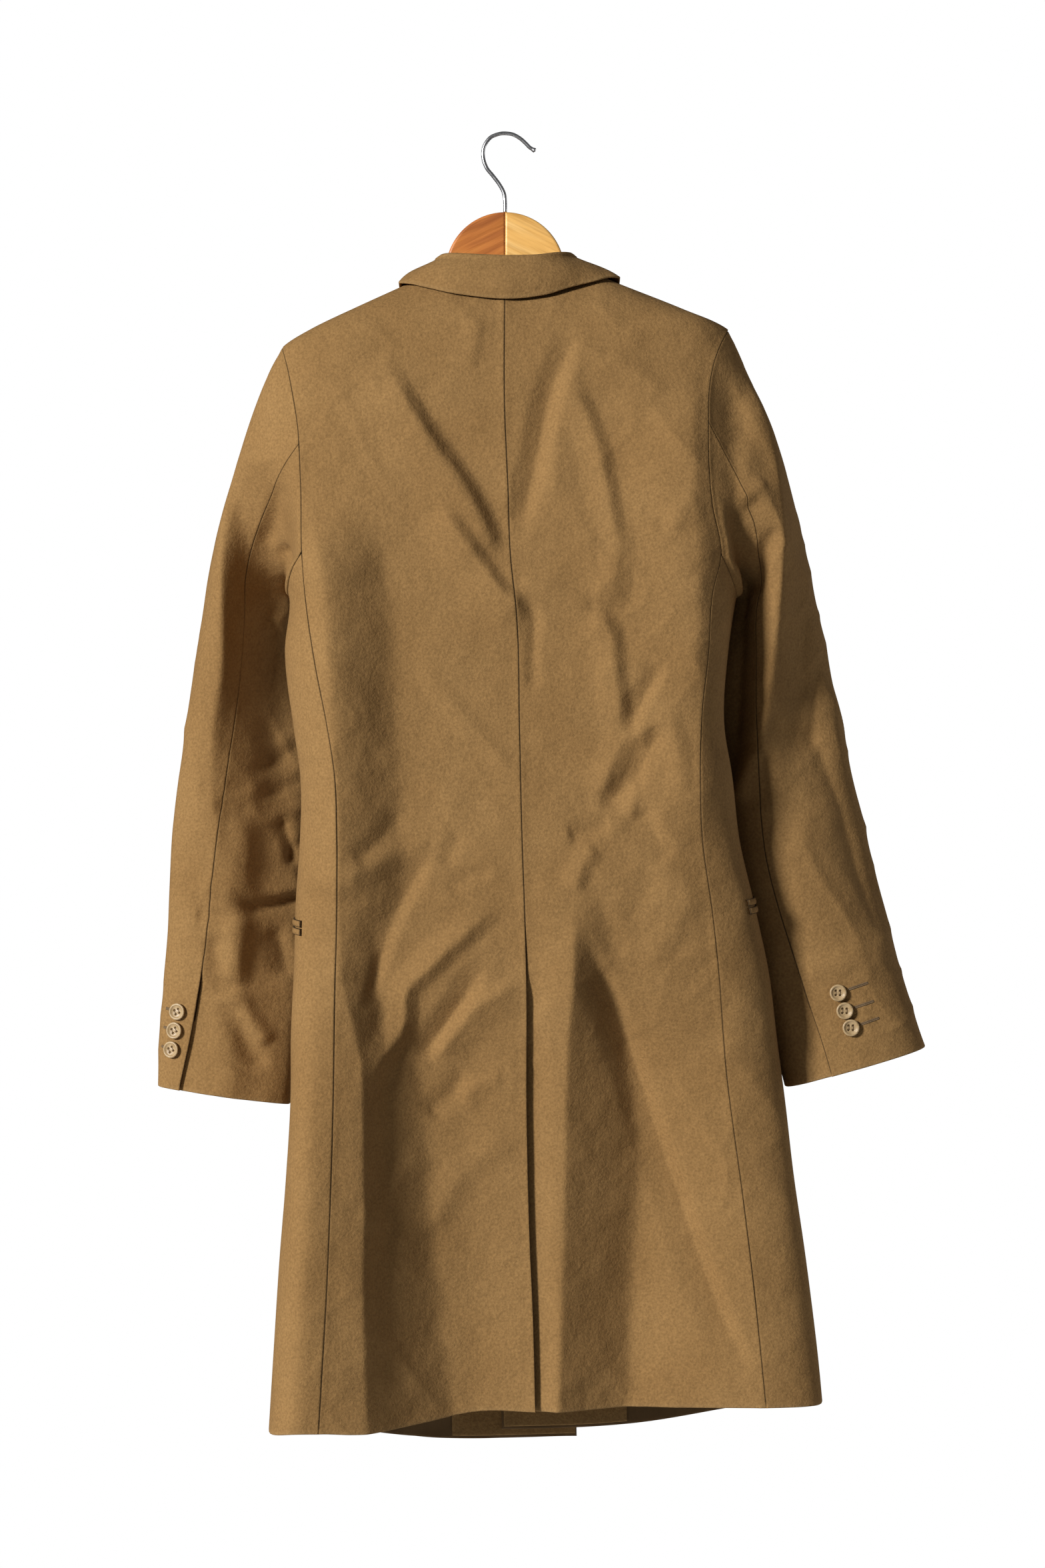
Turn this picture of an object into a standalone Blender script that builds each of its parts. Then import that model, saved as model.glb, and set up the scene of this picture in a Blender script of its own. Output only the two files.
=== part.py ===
"""Long single-breasted coat in napped cloth, hanging on a flat wooden hanger.

The coat hangs in its worn, hollow form, with its back towards -Y, its left sleeve at -X and +Z up.
The origin is the inside top of the hanger's hook, where a rail carries it.
Sizes and tables are in millimetres; the meshes are made in metres.
"""

from collections import namedtuple
from math import cos, pi, radians, sin

import bmesh
import bpy
import numpy as np
from mathutils import Matrix, Vector

MM = 0.001
LEFT, RIGHT = -1, 1
BACK, FRONT = -1, 1

# Cloth
WALL = 2.0
SEAM_GAP = 0.3
ARMHOLE_GAP = 1.0
SECTION_POWER = 3.2

# Rows of the panels: hem to armhole, armhole to shoulder tip, tip to neck
ROWS_BELOW, ROWS_ARMHOLE, ROWS_SHOULDER = 23, 6, 5

# Overlaps of the back vent, the sleeve vents and the fronts
VENT_TOP = -744.0
VENT_DROP = 3.4
CUFF_VENT_LENGTH = 118.0
CUFF_UNDERLAP_TURN = 12.0
CUFF_VENT_DROP = 3.4
CUFF_LAP_DELAY = 0.7
FRONT_DROP = 5.4
FACING_WIDTH = 112.0
FACING_WALL = 1.5
FACING_GAP = 1.0

# Collar and lapels
COLLAR_FOLD = 3.2
COLLAR_LIFT = 3.8
LAPEL_LIFT = 1.25
BREAK_HEIGHT = -430.0
LAPEL_TOP = -188.0
LAPEL_SLANT = 0.22

# Trim
CUFF_BUTTON_DIAMETER = 15.2
CUFF_BUTTON_TURN = 0.33
BUTTON_GAP = 0.7
CUFF_BUTTONS_ABOVE_HEM = (70.0, 53.0, 36.5)
FRONT_BUTTON_DIAMETER = 25.0
FRONT_BUTTON_INSET = 24.0
FRONT_BUTTON_HEIGHTS = (-448.0, -560.0, -672.0)
JET_HEIGHT = 6.0
JET_WALL = 1.4
JET_GAP = 1.2
POCKET_HEIGHT = {LEFT: -701.0, RIGHT: -683.0}
POCKET_TURNS = (-0.42, 1.05)
POCKET_SLANT = 4.0

# Hanger
HANGER_THICKNESS = 12.0
HANGER_TOP = -69.0
HANGER_SEAT = 1.8
HANGER_HUMP_RADIUS = 53.0
HANGER_ARM_DEPTH = 30.0
HANGER_REACH = 172.0
HOOK_WIRE_DIAMETER = 3.4

# Level sections of the body: height, then how far the cloth reaches to each side
Section = namedtuple("Section", "height left right back front")
SECTIONS = (
    Section(-112, -37, 44, -24, 22),
    Section(-123, -61, 72, -33, 30),
    Section(-139, -95, 111, -47, 42),
    Section(-158, -135, 157, -60, 50),
    Section(-176, -172, 197, -66, 55),
    Section(-191, -196, 206, -69, 58),
    Section(-215, -205, 211, -72, 60),
    Section(-250, -210, 214, -74, 62),
    Section(-300, -213, 216, -76, 63),
    Section(-366, -207, 212, -75, 63),
    Section(-410, -190, 204, -73, 62),
    Section(-460, -194, 197, -71, 61),
    Section(-530, -186, 194, -68, 59),
    Section(-565, -181, 200, -67, 58),
    Section(-630, -181, 208, -68, 59),
    Section(-690, -185, 222, -70, 61),
    Section(-740, -186, 233, -72, 63),
    Section(-800, -188, 241, -75, 65),
    Section(-850, -188, 248, -77, 67),
    Section(-925, -192, 257, -79, 70),
    Section(-1000, -198, 268, -81, 73),
    Section(-1080, -203, 278, -83, 76),
    Section(-1175, -209, 287, -85, 79),
)

# Lines of the cut, each point a height and the distance from the hook's plumb line
Mark = namedtuple("Mark", "height across")
SHOULDER_TIP = {LEFT: Mark(-191, -196), RIGHT: Mark(-176, 197)}
NECK_POINT = {LEFT: Mark(-123, -61), RIGHT: Mark(-119, 62)}
CENTRE_BACK = (
    Mark(-140, 0), Mark(-250, 0), Mark(-322, 3), Mark(-378, 5), Mark(-425, 10), Mark(-533, 13),
    Mark(-620, 15), Mark(-678, 17), Mark(-744, 19), Mark(-870, 19.5), Mark(-976, 22), Mark(-1046, 25),
    Mark(-1125, 27),
)
BACK_SEAM = {
    LEFT: (
        Mark(-191, -196), Mark(-213, -190), Mark(-238, -185), Mark(-262, -181), Mark(-310, -178),
        Mark(-376, -176), Mark(-414, -173), Mark(-468, -165), Mark(-525, -154), Mark(-570, -147),
        Mark(-620, -145), Mark(-746, -147), Mark(-860, -148), Mark(-1009, -153), Mark(-1150, -161),
    ),
    RIGHT: (
        Mark(-176, 197), Mark(-192, 189), Mark(-208, 183), Mark(-227, 179), Mark(-262, 177),
        Mark(-333, 180), Mark(-377, 188), Mark(-409, 181), Mark(-465, 177), Mark(-510, 172),
        Mark(-570, 170), Mark(-621, 172), Mark(-687, 181), Mark(-741, 187), Mark(-824, 194),
        Mark(-944, 210), Mark(-1009, 218), Mark(-1125, 230),
    ),
}
FRONT_SEAM = {
    LEFT: (
        Mark(-191, -196), Mark(-213, -188), Mark(-245, -178), Mark(-280, -170), Mark(-320, -167),
        Mark(-360, -172), Mark(-385, -176), Mark(-420, -168), Mark(-520, -148), Mark(-620, -138),
        Mark(-740, -140), Mark(-900, -146), Mark(-1165, -158),
    ),
    RIGHT: (
        Mark(-176, 197), Mark(-198, 190), Mark(-230, 181), Mark(-265, 174), Mark(-305, 172),
        Mark(-350, 178), Mark(-380, 184), Mark(-420, 178), Mark(-520, 165), Mark(-620, 165),
        Mark(-740, 178), Mark(-900, 200), Mark(-1145, 228),
    ),
}
FRONT_EDGE = {
    LEFT: (
        Mark(-123, -60), Mark(-150, -49), Mark(-200, -26), Mark(-300, 14), Mark(-400, 46),
        Mark(-430, 52), Mark(-480, 54), Mark(-700, 56), Mark(-1171, 65),
    ),
    RIGHT: (
        Mark(-119, 61), Mark(-150, 53), Mark(-200, 38), Mark(-300, 8), Mark(-400, -14),
        Mark(-430, -17), Mark(-480, -17), Mark(-700, -13), Mark(-1163, -3),
    ),
}
LAPEL_WIDTHS = (Mark(-416, 6), Mark(-320, 50), Mark(-235, 80), Mark(-188, 46))
LAPEL_FOOT = {LEFT: -416.0, RIGHT: -340.0}
UNDERARM = {LEFT: -410.0, RIGHT: -411.0}
BACK_JUNCTION = {LEFT: -376.0, RIGHT: -377.0}
FRONT_JUNCTION = {LEFT: -385.0, RIGHT: -380.0}

# First columns of the right back, from the seam where the vent is closed and where it is open
Lap = namedtuple("Lap", "closed opened")
UNDERLAP = (Lap(0, -42), Lap(3, -18), Lap(7, 3))

# Hem heights round the body, against the distance across
HEM_BACK = (
    Mark(-1154, -209), Mark(-1150, -161), Mark(-1143, -128), Mark(-1131, -74), Mark(-1122, -26),
    Mark(-1118, 28), Mark(-1118, 135), Mark(-1121, 230), Mark(-1126, 287),
)
HEM_FRONT = {
    LEFT: (Mark(-1154, -209), Mark(-1164, -150), Mark(-1171, -72), Mark(-1170, 66)),
    RIGHT: (Mark(-1163, -4), Mark(-1161, 66), Mark(-1154, 146), Mark(-1145, 195), Mark(-1126, 287)),
}

# Sleeve rings: outer edge of each ring, its width, depth, tilt and place from front to back
Ring = namedtuple("Ring", "across height width depth tilt set_forward seam_turn")
SLEEVE_RINGS = {
    LEFT: (
        Ring(-268, -395, 78, 108, 10, 48, 87),
        Ring(-278, -450, 88, 96, 8, 57, 89),
        Ring(-288, -513, 106, 80, 7, 58, 85),
        Ring(-301, -621, 120, 66, 7, 57, 75),
        Ring(-307, -729, 124, 56, 7, 55, 68),
        Ring(-311, -800, 121, 50, 8, 52, 61),
        Ring(-313, -849, 119, 46, 8, 50, 52),
    ),
    RIGHT: (
        Ring(276, -398, 77, 108, 12, 50, 104),
        Ring(288, -450, 90, 96, 13, 57, 112),
        Ring(301, -513, 106, 80, 13, 58, 115),
        Ring(323, -621, 126, 66, 13, 57, 112),
        Ring(352, -729, 130, 56, 15, 55, 109),
        Ring(366, -780, 129, 50, 16, 52, 107),
        Ring(374, -813, 128, 46, 16, 50, 106),
    ),
}
ARMHOLE_SEAM_TURN = {LEFT: 78.0, RIGHT: 76.0}
FOREARM_SEAM_TURN = 285.0

# Largest folds of the back: a line from start to end, how far it stands out, and its reach to each side
Fold = namedtuple("Fold", "from_x from_z to_x to_z bow height reach_left reach_right")
BACK_FOLDS = (
    Fold(-104, -205, 2, -375, 0, 7, 40, 10),
    Fold(-60, -330, 8, -400, 0, 5, 30, 9),
    Fold(-137, -760, -128, -1160, 4, 14, 40, 12),
    Fold(44, -690, 43, -1150, 0, 16, 22, 34),
    Fold(66, -690, 214, -1150, 0, -9, 46, 16),
    Fold(36, -290, 20, -400, 4, 5, 18, 24),
)
SLEEVE_FOLDS = {
    LEFT: (
        Fold(-246, -345, -262, -640, 0, -12, 16, 26),
        Fold(-258, -300, -206, -330, 0, 6, 20, 20),
    ),
    RIGHT: (
        Fold(232, -235, 240, -425, -6, 8, 30, 14),
        Fold(290, -470, 330, -720, 0, -5, 40, 22),
    ),
}

# Collar stations from the left end round the back to the right end: outer edge, roll line, neck seam
Station = namedtuple("Station", "edge_x edge_z face roll_x roll_y roll_z neck_x neck_z")
COLLAR = (
    Station(-82, -166, FRONT, -50, 30, -126, -52, -138),
    Station(-91, -156, FRONT, -57, 17, -117, -57.5, -128),
    Station(-98, -142, FRONT, -60, -2, -112, -59, -122.5),
    Station(-83, -142, BACK, -57, -24, -111, -56, -126),
    Station(-67, -146, BACK, -50, -39, -111, -49, -129),
    Station(-40, -152, BACK, -32, -49, -113, -32, -136),
    Station(0, -156, BACK, 0, -53, -115, 0, -140),
    Station(33, -153, BACK, 27, -51, -114, 27, -137),
    Station(56, -146, BACK, 44, -43, -111, 44, -130),
    Station(78, -140, BACK, 55, -28, -109, 54, -124),
    Station(92, -136, BACK, 59, -14, -109, 58, -121),
    Station(105, -138, FRONT, 61, 2, -110, 59.5, -119),
    Station(96, -152, FRONT, 58, 18, -115, 58, -124),
    Station(85, -163, FRONT, 51, 30, -124, 53, -134),
)

# Hook wire from its end in the wood to its tip, in the hanger's plane
HOOK_PATH = (
    (0, -68.6), (0, -61), (-1, -52), (-5, -44), (-11, -36), (-16.5, -29), (-19.5, -20), (-18.8, -10.5),
    (-13.5, -2.4), (-6, 1.0), (0, 1.7), (7, 0.6), (13.5, -3), (18.5, -7.5), (22, -11), (27, -14),
)

CLOTH_COLOUR = (0.255, 0.150, 0.063, 1)
BUTTON_COLOUR = (0.47, 0.33, 0.17, 1)
DARK_WOOD_COLOUR = (0.42, 0.15, 0.045, 1)
LIGHT_WOOD_COLOUR = (0.80, 0.47, 0.15, 1)
STEEL_COLOUR = (0.60, 0.60, 0.62, 1)


# Curves through the tables

def smooth(knots, values, at):
    """A smooth curve through the points, level past its ends."""
    order = np.argsort(knots)
    knots = np.asarray(knots, float)[order]
    values = np.asarray(values, float)[order]
    step = np.diff(knots)
    slope = np.diff(values) / step
    inner = (slope[:-1] * step[1:] + slope[1:] * step[:-1]) / (step[1:] + step[:-1])
    tangent = np.concatenate([slope[:1], inner, slope[-1:]])
    at = np.clip(at, knots[0], knots[-1])
    i = np.clip(np.searchsorted(knots, at) - 1, 0, len(step) - 1)
    t = (at - knots[i]) / step[i]
    rise = values[i] * (1 + 2 * t) * (1 - t) ** 2 + values[i + 1] * t * t * (3 - 2 * t)
    return rise + step[i] * (tangent[i] * t * (1 - t) ** 2 - tangent[i + 1] * t * t * (1 - t))


def column(table, name):
    return [getattr(row, name) for row in table]


def across_at(marks, height):
    return smooth(column(marks, "height"), column(marks, "across"), height)


def height_at(marks, across):
    return smooth(column(marks, "across"), column(marks, "height"), across)


def ramp(value, start, end):
    """0 before start, 1 after end, with a smooth rise between."""
    t = np.clip((value - start) / (end - start), 0, 1)
    return t * t * (3 - 2 * t)


# The body's surface

def section_at(height):
    heights = column(SECTIONS, "height")
    return [smooth(heights, column(SECTIONS, side), height) for side in ("left", "right", "back", "front")]


def depth_at(across, height, face):
    """How far back or forward the body's cloth lies at a point of the view from behind."""
    left, right, back, front = section_at(height)
    share = np.clip(abs(across - (left + right) / 2) / ((right - left) / 2), 0, 1)
    reach = back if face == BACK else front
    return reach * (1 - share**SECTION_POWER) ** (1 / SECTION_POWER)


def outside(points):
    """Grows from the body's inside to its outside, and is level on its surface."""
    left, right, back, front = section_at(points[..., 2])
    share_x = (points[..., 0] - (left + right) / 2) / ((right - left) / 2)
    share_y = points[..., 1] / np.where(points[..., 1] < 0, -back, front)
    return abs(share_x) ** SECTION_POWER + abs(share_y) ** SECTION_POWER


def body_normals(points):
    """Directions out of the body's cloth."""
    reach = 0.5
    steps = np.eye(3) * reach
    slopes = np.stack([outside(points + step) - outside(points - step) for step in steps], axis=-1)
    return slopes / np.linalg.norm(slopes, axis=-1, keepdims=True)


def fold_heights(folds, across, height):
    """Sum of the folds at points of the view from behind, each a ridge or trough along its line."""
    total = np.zeros(np.broadcast(across, height).shape)
    for fold in folds:
        run = np.array([fold.to_x - fold.from_x, fold.to_z - fold.from_z])
        length = np.hypot(*run)
        run = run / length
        dx, dz = across - fold.from_x, height - fold.from_z
        along = (dx * run[0] + dz * run[1]) / length
        aside = dz * run[0] - dx * run[1] - fold.bow * np.sin(pi * np.clip(along, 0, 1))
        reach = np.where(aside * np.sign(run[1]) < 0, fold.reach_right, fold.reach_left)
        taper = ramp(along, -0.05, 0.25) * (1 - ramp(along, 0.8, 1.08))
        total = total + fold.height * taper * np.exp(-((aside / reach) ** 2))
    return total


def side_across(side, height, seam):
    """A panel's outer edge: along the shoulder, then the armhole and the side seam."""
    left, right = section_at(height)[:2]
    edge = left if side == LEFT else right
    below = across_at(seam[side], height) - side * SEAM_GAP / 2
    return np.where(height >= SHOULDER_TIP[side].height, edge, below)


def on_body(across, height, face):
    """Points of the body's surface, kept half a seam gap from the line that parts front from back."""
    depth = depth_at(across, height, face)
    depth = face * np.maximum(face * depth, SEAM_GAP / 2)
    return np.stack([across, depth, np.broadcast_to(height, across.shape)], axis=-1)


def back_drop(across, height):
    """How far the right back lies in under the left one at the vent."""
    edge = across_at(CENTRE_BACK, height)
    return VENT_DROP * ramp(-height, -VENT_TOP - 34, -VENT_TOP - 2) * (1 - ramp(across, edge + 4, edge + 24))


def front_drop(across, height):
    """How far the right front lies in under the left one."""
    edge = across_at(FRONT_EDGE[LEFT], height)
    return FRONT_DROP * (1 - ramp(across, edge + 8, edge + 95))


def rows_of(low, junction, tip, high):
    """Row heights from the hem to the neck that pass through the armhole's foot and the shoulder tip."""
    return np.concatenate([
        np.linspace(low, junction, ROWS_BELOW + 1)[:-1],
        np.linspace(junction, tip, ROWS_ARMHOLE + 1)[:-1],
        np.linspace(tip, high, ROWS_SHOULDER + 1),
    ])


def shares(count, crowd):
    """From 0 to 1, closer together towards 1 as crowd grows."""
    t = np.linspace(0, 1, count)
    return (1 - crowd) * t + crowd * np.sin(t * pi / 2)


# Panels, each a grid of points on its outer face with the directions out of it

def underlap_columns(seam, rows):
    """The right back's first columns: at the seam above the vent, and spread under the left back in it."""
    opened = ramp(-rows, -VENT_TOP + 2, -VENT_TOP + 60)[:, None]
    return seam[:, None] + np.array(column(UNDERLAP, "closed")) * (1 - opened) \
        + np.array(column(UNDERLAP, "opened")) * opened


def back_rows(side):
    """Row heights along the back panel's outer edge."""
    low = height_at(HEM_BACK, BACK_SEAM[side][-1].across)
    return rows_of(low, BACK_JUNCTION[side], SHOULDER_TIP[side].height, NECK_POINT[side].height)


def shares_of(rows):
    return (rows - rows[0]) / (rows[-1] - rows[0])


def back_panel(side, columns):
    rows = back_rows(side)
    at_seam = shares_of(rows)
    at_centre = (shares_of(back_rows(LEFT)) + shares_of(back_rows(RIGHT))) / 2
    share = shares(columns, 0.75)
    low = height_at(HEM_BACK, CENTRE_BACK[-1].across)
    middle = low + (CENTRE_BACK[0].height - low) * at_centre
    outer = side_across(side, rows, BACK_SEAM)
    inner = across_at(CENTRE_BACK, middle) + side * SEAM_GAP / 2
    across = inner[:, None] + (outer - inner)[:, None] * share
    if side == RIGHT:
        across = np.concatenate([underlap_columns(inner, middle), across[:, 1:]], axis=1)
        share = np.concatenate([np.zeros(len(UNDERLAP)), share[1:]])
    up = at_centre[:, None] * (1 - share) + at_seam[:, None] * share
    neck = CENTRE_BACK[0].height + (rows[-1] - CENTRE_BACK[0].height) * share**2.2
    hem = height_at(HEM_BACK, across[0])
    height = hem + (neck - hem) * up
    points = on_body(across, height, BACK)
    normals = body_normals(points)
    lift = fold_heights(BACK_FOLDS, across, height) * ramp(-normals[..., 1], 0.05, 0.6)
    if side == RIGHT:
        lift = lift - back_drop(across, height)
    return points + normals * lift[..., None], normals


def around(side, turn, height):
    """A point of the body by its turn from the side edge, minus towards the back."""
    left, right, back, front = section_at(height)
    half = (right - left) / 2
    reach = np.where(turn < 0, -back, front)
    power = 2 / SECTION_POWER
    x = (left + right) / 2 + side * half * abs(np.cos(turn)) ** power
    y = np.sign(turn) * reach * abs(np.sin(turn)) ** power
    return np.stack([x, y, np.broadcast_to(height, x.shape)], axis=-1)


def turn_of(across, height, face):
    left, right = section_at(height)[:2]
    share = np.clip(abs(across - (left + right) / 2) / ((right - left) / 2), 0, 1)
    return face * np.arccos(share ** (SECTION_POWER / 2))


def side_top(side, share):
    """Height of the armhole's lower edge along the side panel."""
    level = BACK_JUNCTION[side] * (1 - share) + FRONT_JUNCTION[side] * share
    middle = (BACK_JUNCTION[side] + FRONT_JUNCTION[side]) / 2
    return level + (UNDERARM[side] - middle) * np.sin(pi * share) ** 0.9


def side_turn(side, share, height):
    start = turn_of(across_at(BACK_SEAM[side], height) + side * SEAM_GAP / 2, height, BACK)
    end = turn_of(across_at(FRONT_SEAM[side], height) + side * SEAM_GAP / 2, height, FRONT)
    return start + (end - start) * share


def side_grid(side, share, up):
    """Points of the side panel, share from its back seam to its front seam and up from hem to armhole."""
    rough = np.full_like(share, height_at(HEM_BACK, BACK_SEAM[side][-1].across))
    turn = side_turn(side, share, rough)
    foot = around(side, turn, rough)[..., 0]
    hem = np.where(turn < 0, height_at(HEM_BACK, foot), height_at(HEM_FRONT[side], foot))
    height = hem + (side_top(side, share) - hem) * up
    return around(side, side_turn(side, share, height), height)


def side_panel(side, columns):
    share, up = np.meshgrid(np.linspace(0, 1, columns), np.linspace(0, 1, ROWS_BELOW + 1))
    points = side_grid(side, share, up)
    normals = body_normals(points)
    lift = fold_heights(BACK_FOLDS, points[..., 0], points[..., 2]) * ramp(-normals[..., 1], 0.05, 0.6)
    return points + normals * lift[..., None], normals


def front_panel(side, columns):
    low = height_at(HEM_FRONT[side], FRONT_SEAM[side][-1].across)
    rows = rows_of(low, FRONT_JUNCTION[side], SHOULDER_TIP[side].height, NECK_POINT[side].height - 4)
    share = shares(columns, 0.5)
    outer = side_across(side, rows, FRONT_SEAM)
    inner = across_at(FRONT_EDGE[side], rows)
    across = inner[:, None] + (outer - inner)[:, None] * share
    hem = height_at(HEM_FRONT[side], across[0])
    height = hem + (rows[-1] - hem) * shares_of(rows)[:, None]
    points = on_body(across, height, FRONT)
    normals = body_normals(points)
    lift = -front_drop(across, height) if side == RIGHT else np.zeros(across.shape)
    return points + normals * lift[..., None], normals


def facing(side, rows, columns):
    """The turned-in strip behind a front edge, laid on the front panel's inner face."""
    low = height_at(HEM_FRONT[side], FRONT_EDGE[side][-1].across) + 3
    heights = np.linspace(low, BREAK_HEIGHT - 6, rows)
    inner = across_at(FRONT_EDGE[side], heights) + side * 1.5
    across = inner[:, None] + side * np.linspace(0, FACING_WIDTH, columns)
    hem = height_at(HEM_FRONT[side], across[0]) + 3
    height = hem + (heights[-1] - hem) * shares_of(heights)[:, None]
    points = on_body(across, height, FRONT)
    normals = body_normals(points)
    lift = -front_drop(across, height) if side == RIGHT else np.zeros(across.shape)
    return points + normals * (lift - WALL - FACING_GAP)[..., None], normals


def lapel(side, rows, columns):
    """The turned-back lapel, from its roll line out; the right one ends at the left front."""
    roll = np.linspace(LAPEL_FOOT[side], LAPEL_TOP, rows)
    width = smooth(column(LAPEL_WIDTHS, "height"), column(LAPEL_WIDTHS, "across"), roll)
    start = across_at(FRONT_EDGE[side], roll)
    outer = start + side * width
    inner = start + side * 1.5
    if side == RIGHT:
        inner = np.maximum(inner, across_at(FRONT_EDGE[LEFT], roll) + 4)
    share = np.linspace(0, 1, columns)
    across = inner[:, None] + (outer - inner)[:, None] * share
    height = roll[:, None] + LAPEL_SLANT * abs(across - start[:, None])
    points = on_body(across, height, FRONT)
    normals = body_normals(points)
    lift = np.full(across.shape, LAPEL_LIFT + WALL)
    if side == RIGHT:
        lift = lift - front_drop(across, height)
    return points + normals * lift[..., None], normals


# Sleeves

def armhole(side):
    """The armhole's loop from the shoulder tip down the back, under the arm and up the front."""
    tip = SHOULDER_TIP[side].height
    down = np.linspace(tip, BACK_JUNCTION[side], 30)
    back = on_body(across_at(BACK_SEAM[side], down), down, BACK)
    share = np.linspace(0, 1, 24)[1:-1]
    under = side_grid(side, share, np.ones_like(share))
    up = np.linspace(FRONT_JUNCTION[side], tip, 30)
    front = on_body(across_at(FRONT_SEAM[side], up), up, FRONT)
    loop = np.concatenate([back, under, front])
    travel = np.concatenate([[0], np.cumsum(np.linalg.norm(np.diff(loop, axis=0), axis=1))])
    return loop, travel / travel[-1]


def at_armhole(side, turn):
    loop, travel = armhole(side)
    share = np.mod(turn, 2 * pi) / (2 * pi)
    return np.stack([np.interp(share, travel, loop[:, i]) for i in range(3)], axis=-1)


def sleeve_ring(side, turn, along):
    """A point of the sleeve below the cap, by ring number and by turn from the outer edge round the back."""
    rings = SLEEVE_RINGS[side]
    place = np.arange(len(rings))
    value = {name: smooth(place, column(rings, name), along) for name in Ring._fields}
    tilt = np.radians(value["tilt"])
    inward = np.stack([-side * np.cos(tilt), np.zeros_like(tilt), -np.sin(tilt)], axis=-1)
    edge = np.stack([value["across"], value["set_forward"], value["height"]], axis=-1)
    centre = edge + inward * (value["width"] / 2)[..., None]
    out = np.sign(np.cos(turn)) * abs(np.cos(turn)) ** 0.9 * value["width"] / 2
    back = np.sign(np.sin(turn)) * abs(np.sin(turn)) ** 0.9 * value["depth"] / 2
    return centre - inward * out[..., None] + np.array([0, -1, 0]) * back[..., None]


def sleeve_point(side, turn, along):
    """A point of the sleeve: along runs from -1 at the armhole to 0 at the first ring, then ring by ring."""
    start = at_armhole(side, turn)
    first = sleeve_ring(side, turn, np.zeros_like(along))
    second = sleeve_ring(side, turn, np.full_like(along, 0.05))
    low = np.sin(turn / 2) ** 2
    leave = np.stack([side * (0.9 - 0.05 * low), 0.25 * np.sin(turn), -0.42 + 0.3 * low], axis=-1)
    leave = leave / np.linalg.norm(leave, axis=-1, keepdims=True)
    start = start + leave * ARMHOLE_GAP
    span = np.linalg.norm(first - start, axis=-1, keepdims=True)
    down = second - first
    down = down / np.linalg.norm(down, axis=-1, keepdims=True)
    t = np.clip(along + 1, 0, 1)[..., None]
    cap = start * (1 + 2 * t) * (1 - t) ** 2 + first * t * t * (3 - 2 * t)
    cap = cap + span * (leave * 0.55 * t * (1 - t) ** 2 - down * 0.9 * t * t * (1 - t))
    return np.where(t < 1, cap, sleeve_ring(side, turn, np.maximum(along, 0)))


def sleeve_normals(side, turn, along):
    step = 0.02
    across = sleeve_point(side, turn + step, along) - sleeve_point(side, turn - step, along)
    last = len(SLEEVE_RINGS[side]) - 1
    near = np.clip(along - step, -1, last)
    far = np.clip(along + step, -1, last)
    down = sleeve_point(side, turn, far) - sleeve_point(side, turn, near)
    normals = np.cross(across, down) * side
    return normals / np.linalg.norm(normals, axis=-1, keepdims=True)


def hind_turn(side, along):
    """Turn of the sleeve's back seam."""
    rings = SLEEVE_RINGS[side]
    place = np.arange(-1, len(rings))
    return np.radians(smooth(place, [ARMHOLE_SEAM_TURN[side], *column(rings, "seam_turn")], along))


def in_cuff_vent(side, along):
    """0 above the sleeve's vent, 1 in it."""
    heights = column(SLEEVE_RINGS[side], "height")
    height = smooth(np.arange(len(heights)), heights, along)
    return ramp(heights[-1] + CUFF_VENT_LENGTH - height, 0, 26)


def sleeve_panel(side, upper, cap_rows, rows, columns):
    last = len(SLEEVE_RINGS[side]) - 1
    along = np.concatenate([np.linspace(-1, 0, cap_rows)[:-1], np.linspace(0, last, rows)])
    hind = hind_turn(side, along)[:, None]
    fore = np.radians(FOREARM_SEAM_TURN)
    gap = SEAM_GAP / 90
    along = along[:, None]
    if upper:
        start = fore - 2 * pi + gap
        turn = start + (hind - gap - start) * np.linspace(0, 1, columns)
        drop = np.zeros(turn.shape)
    else:
        lap = hind + gap - np.radians(CUFF_UNDERLAP_TURN) * in_cuff_vent(side, along - CUFF_LAP_DELAY)
        rest = hind + 0.08 + (fore - gap - hind - 0.08) * np.linspace(0, 1, columns - 1)
        turn = np.concatenate([lap, rest], axis=1)
        drop = CUFF_VENT_DROP * in_cuff_vent(side, along) * (1 - ramp(turn - hind, 0.09, 0.5))
    along = np.broadcast_to(along, turn.shape)
    points = sleeve_point(side, turn, along)
    normals = sleeve_normals(side, turn, along)
    lift = fold_heights(SLEEVE_FOLDS[side], points[..., 0], points[..., 2])
    lift = lift * ramp(-normals[..., 1], 0.1, 0.6) * ramp(along, -0.85, -0.4) - drop
    return points + normals * lift[..., None], normals


# Collar

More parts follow.
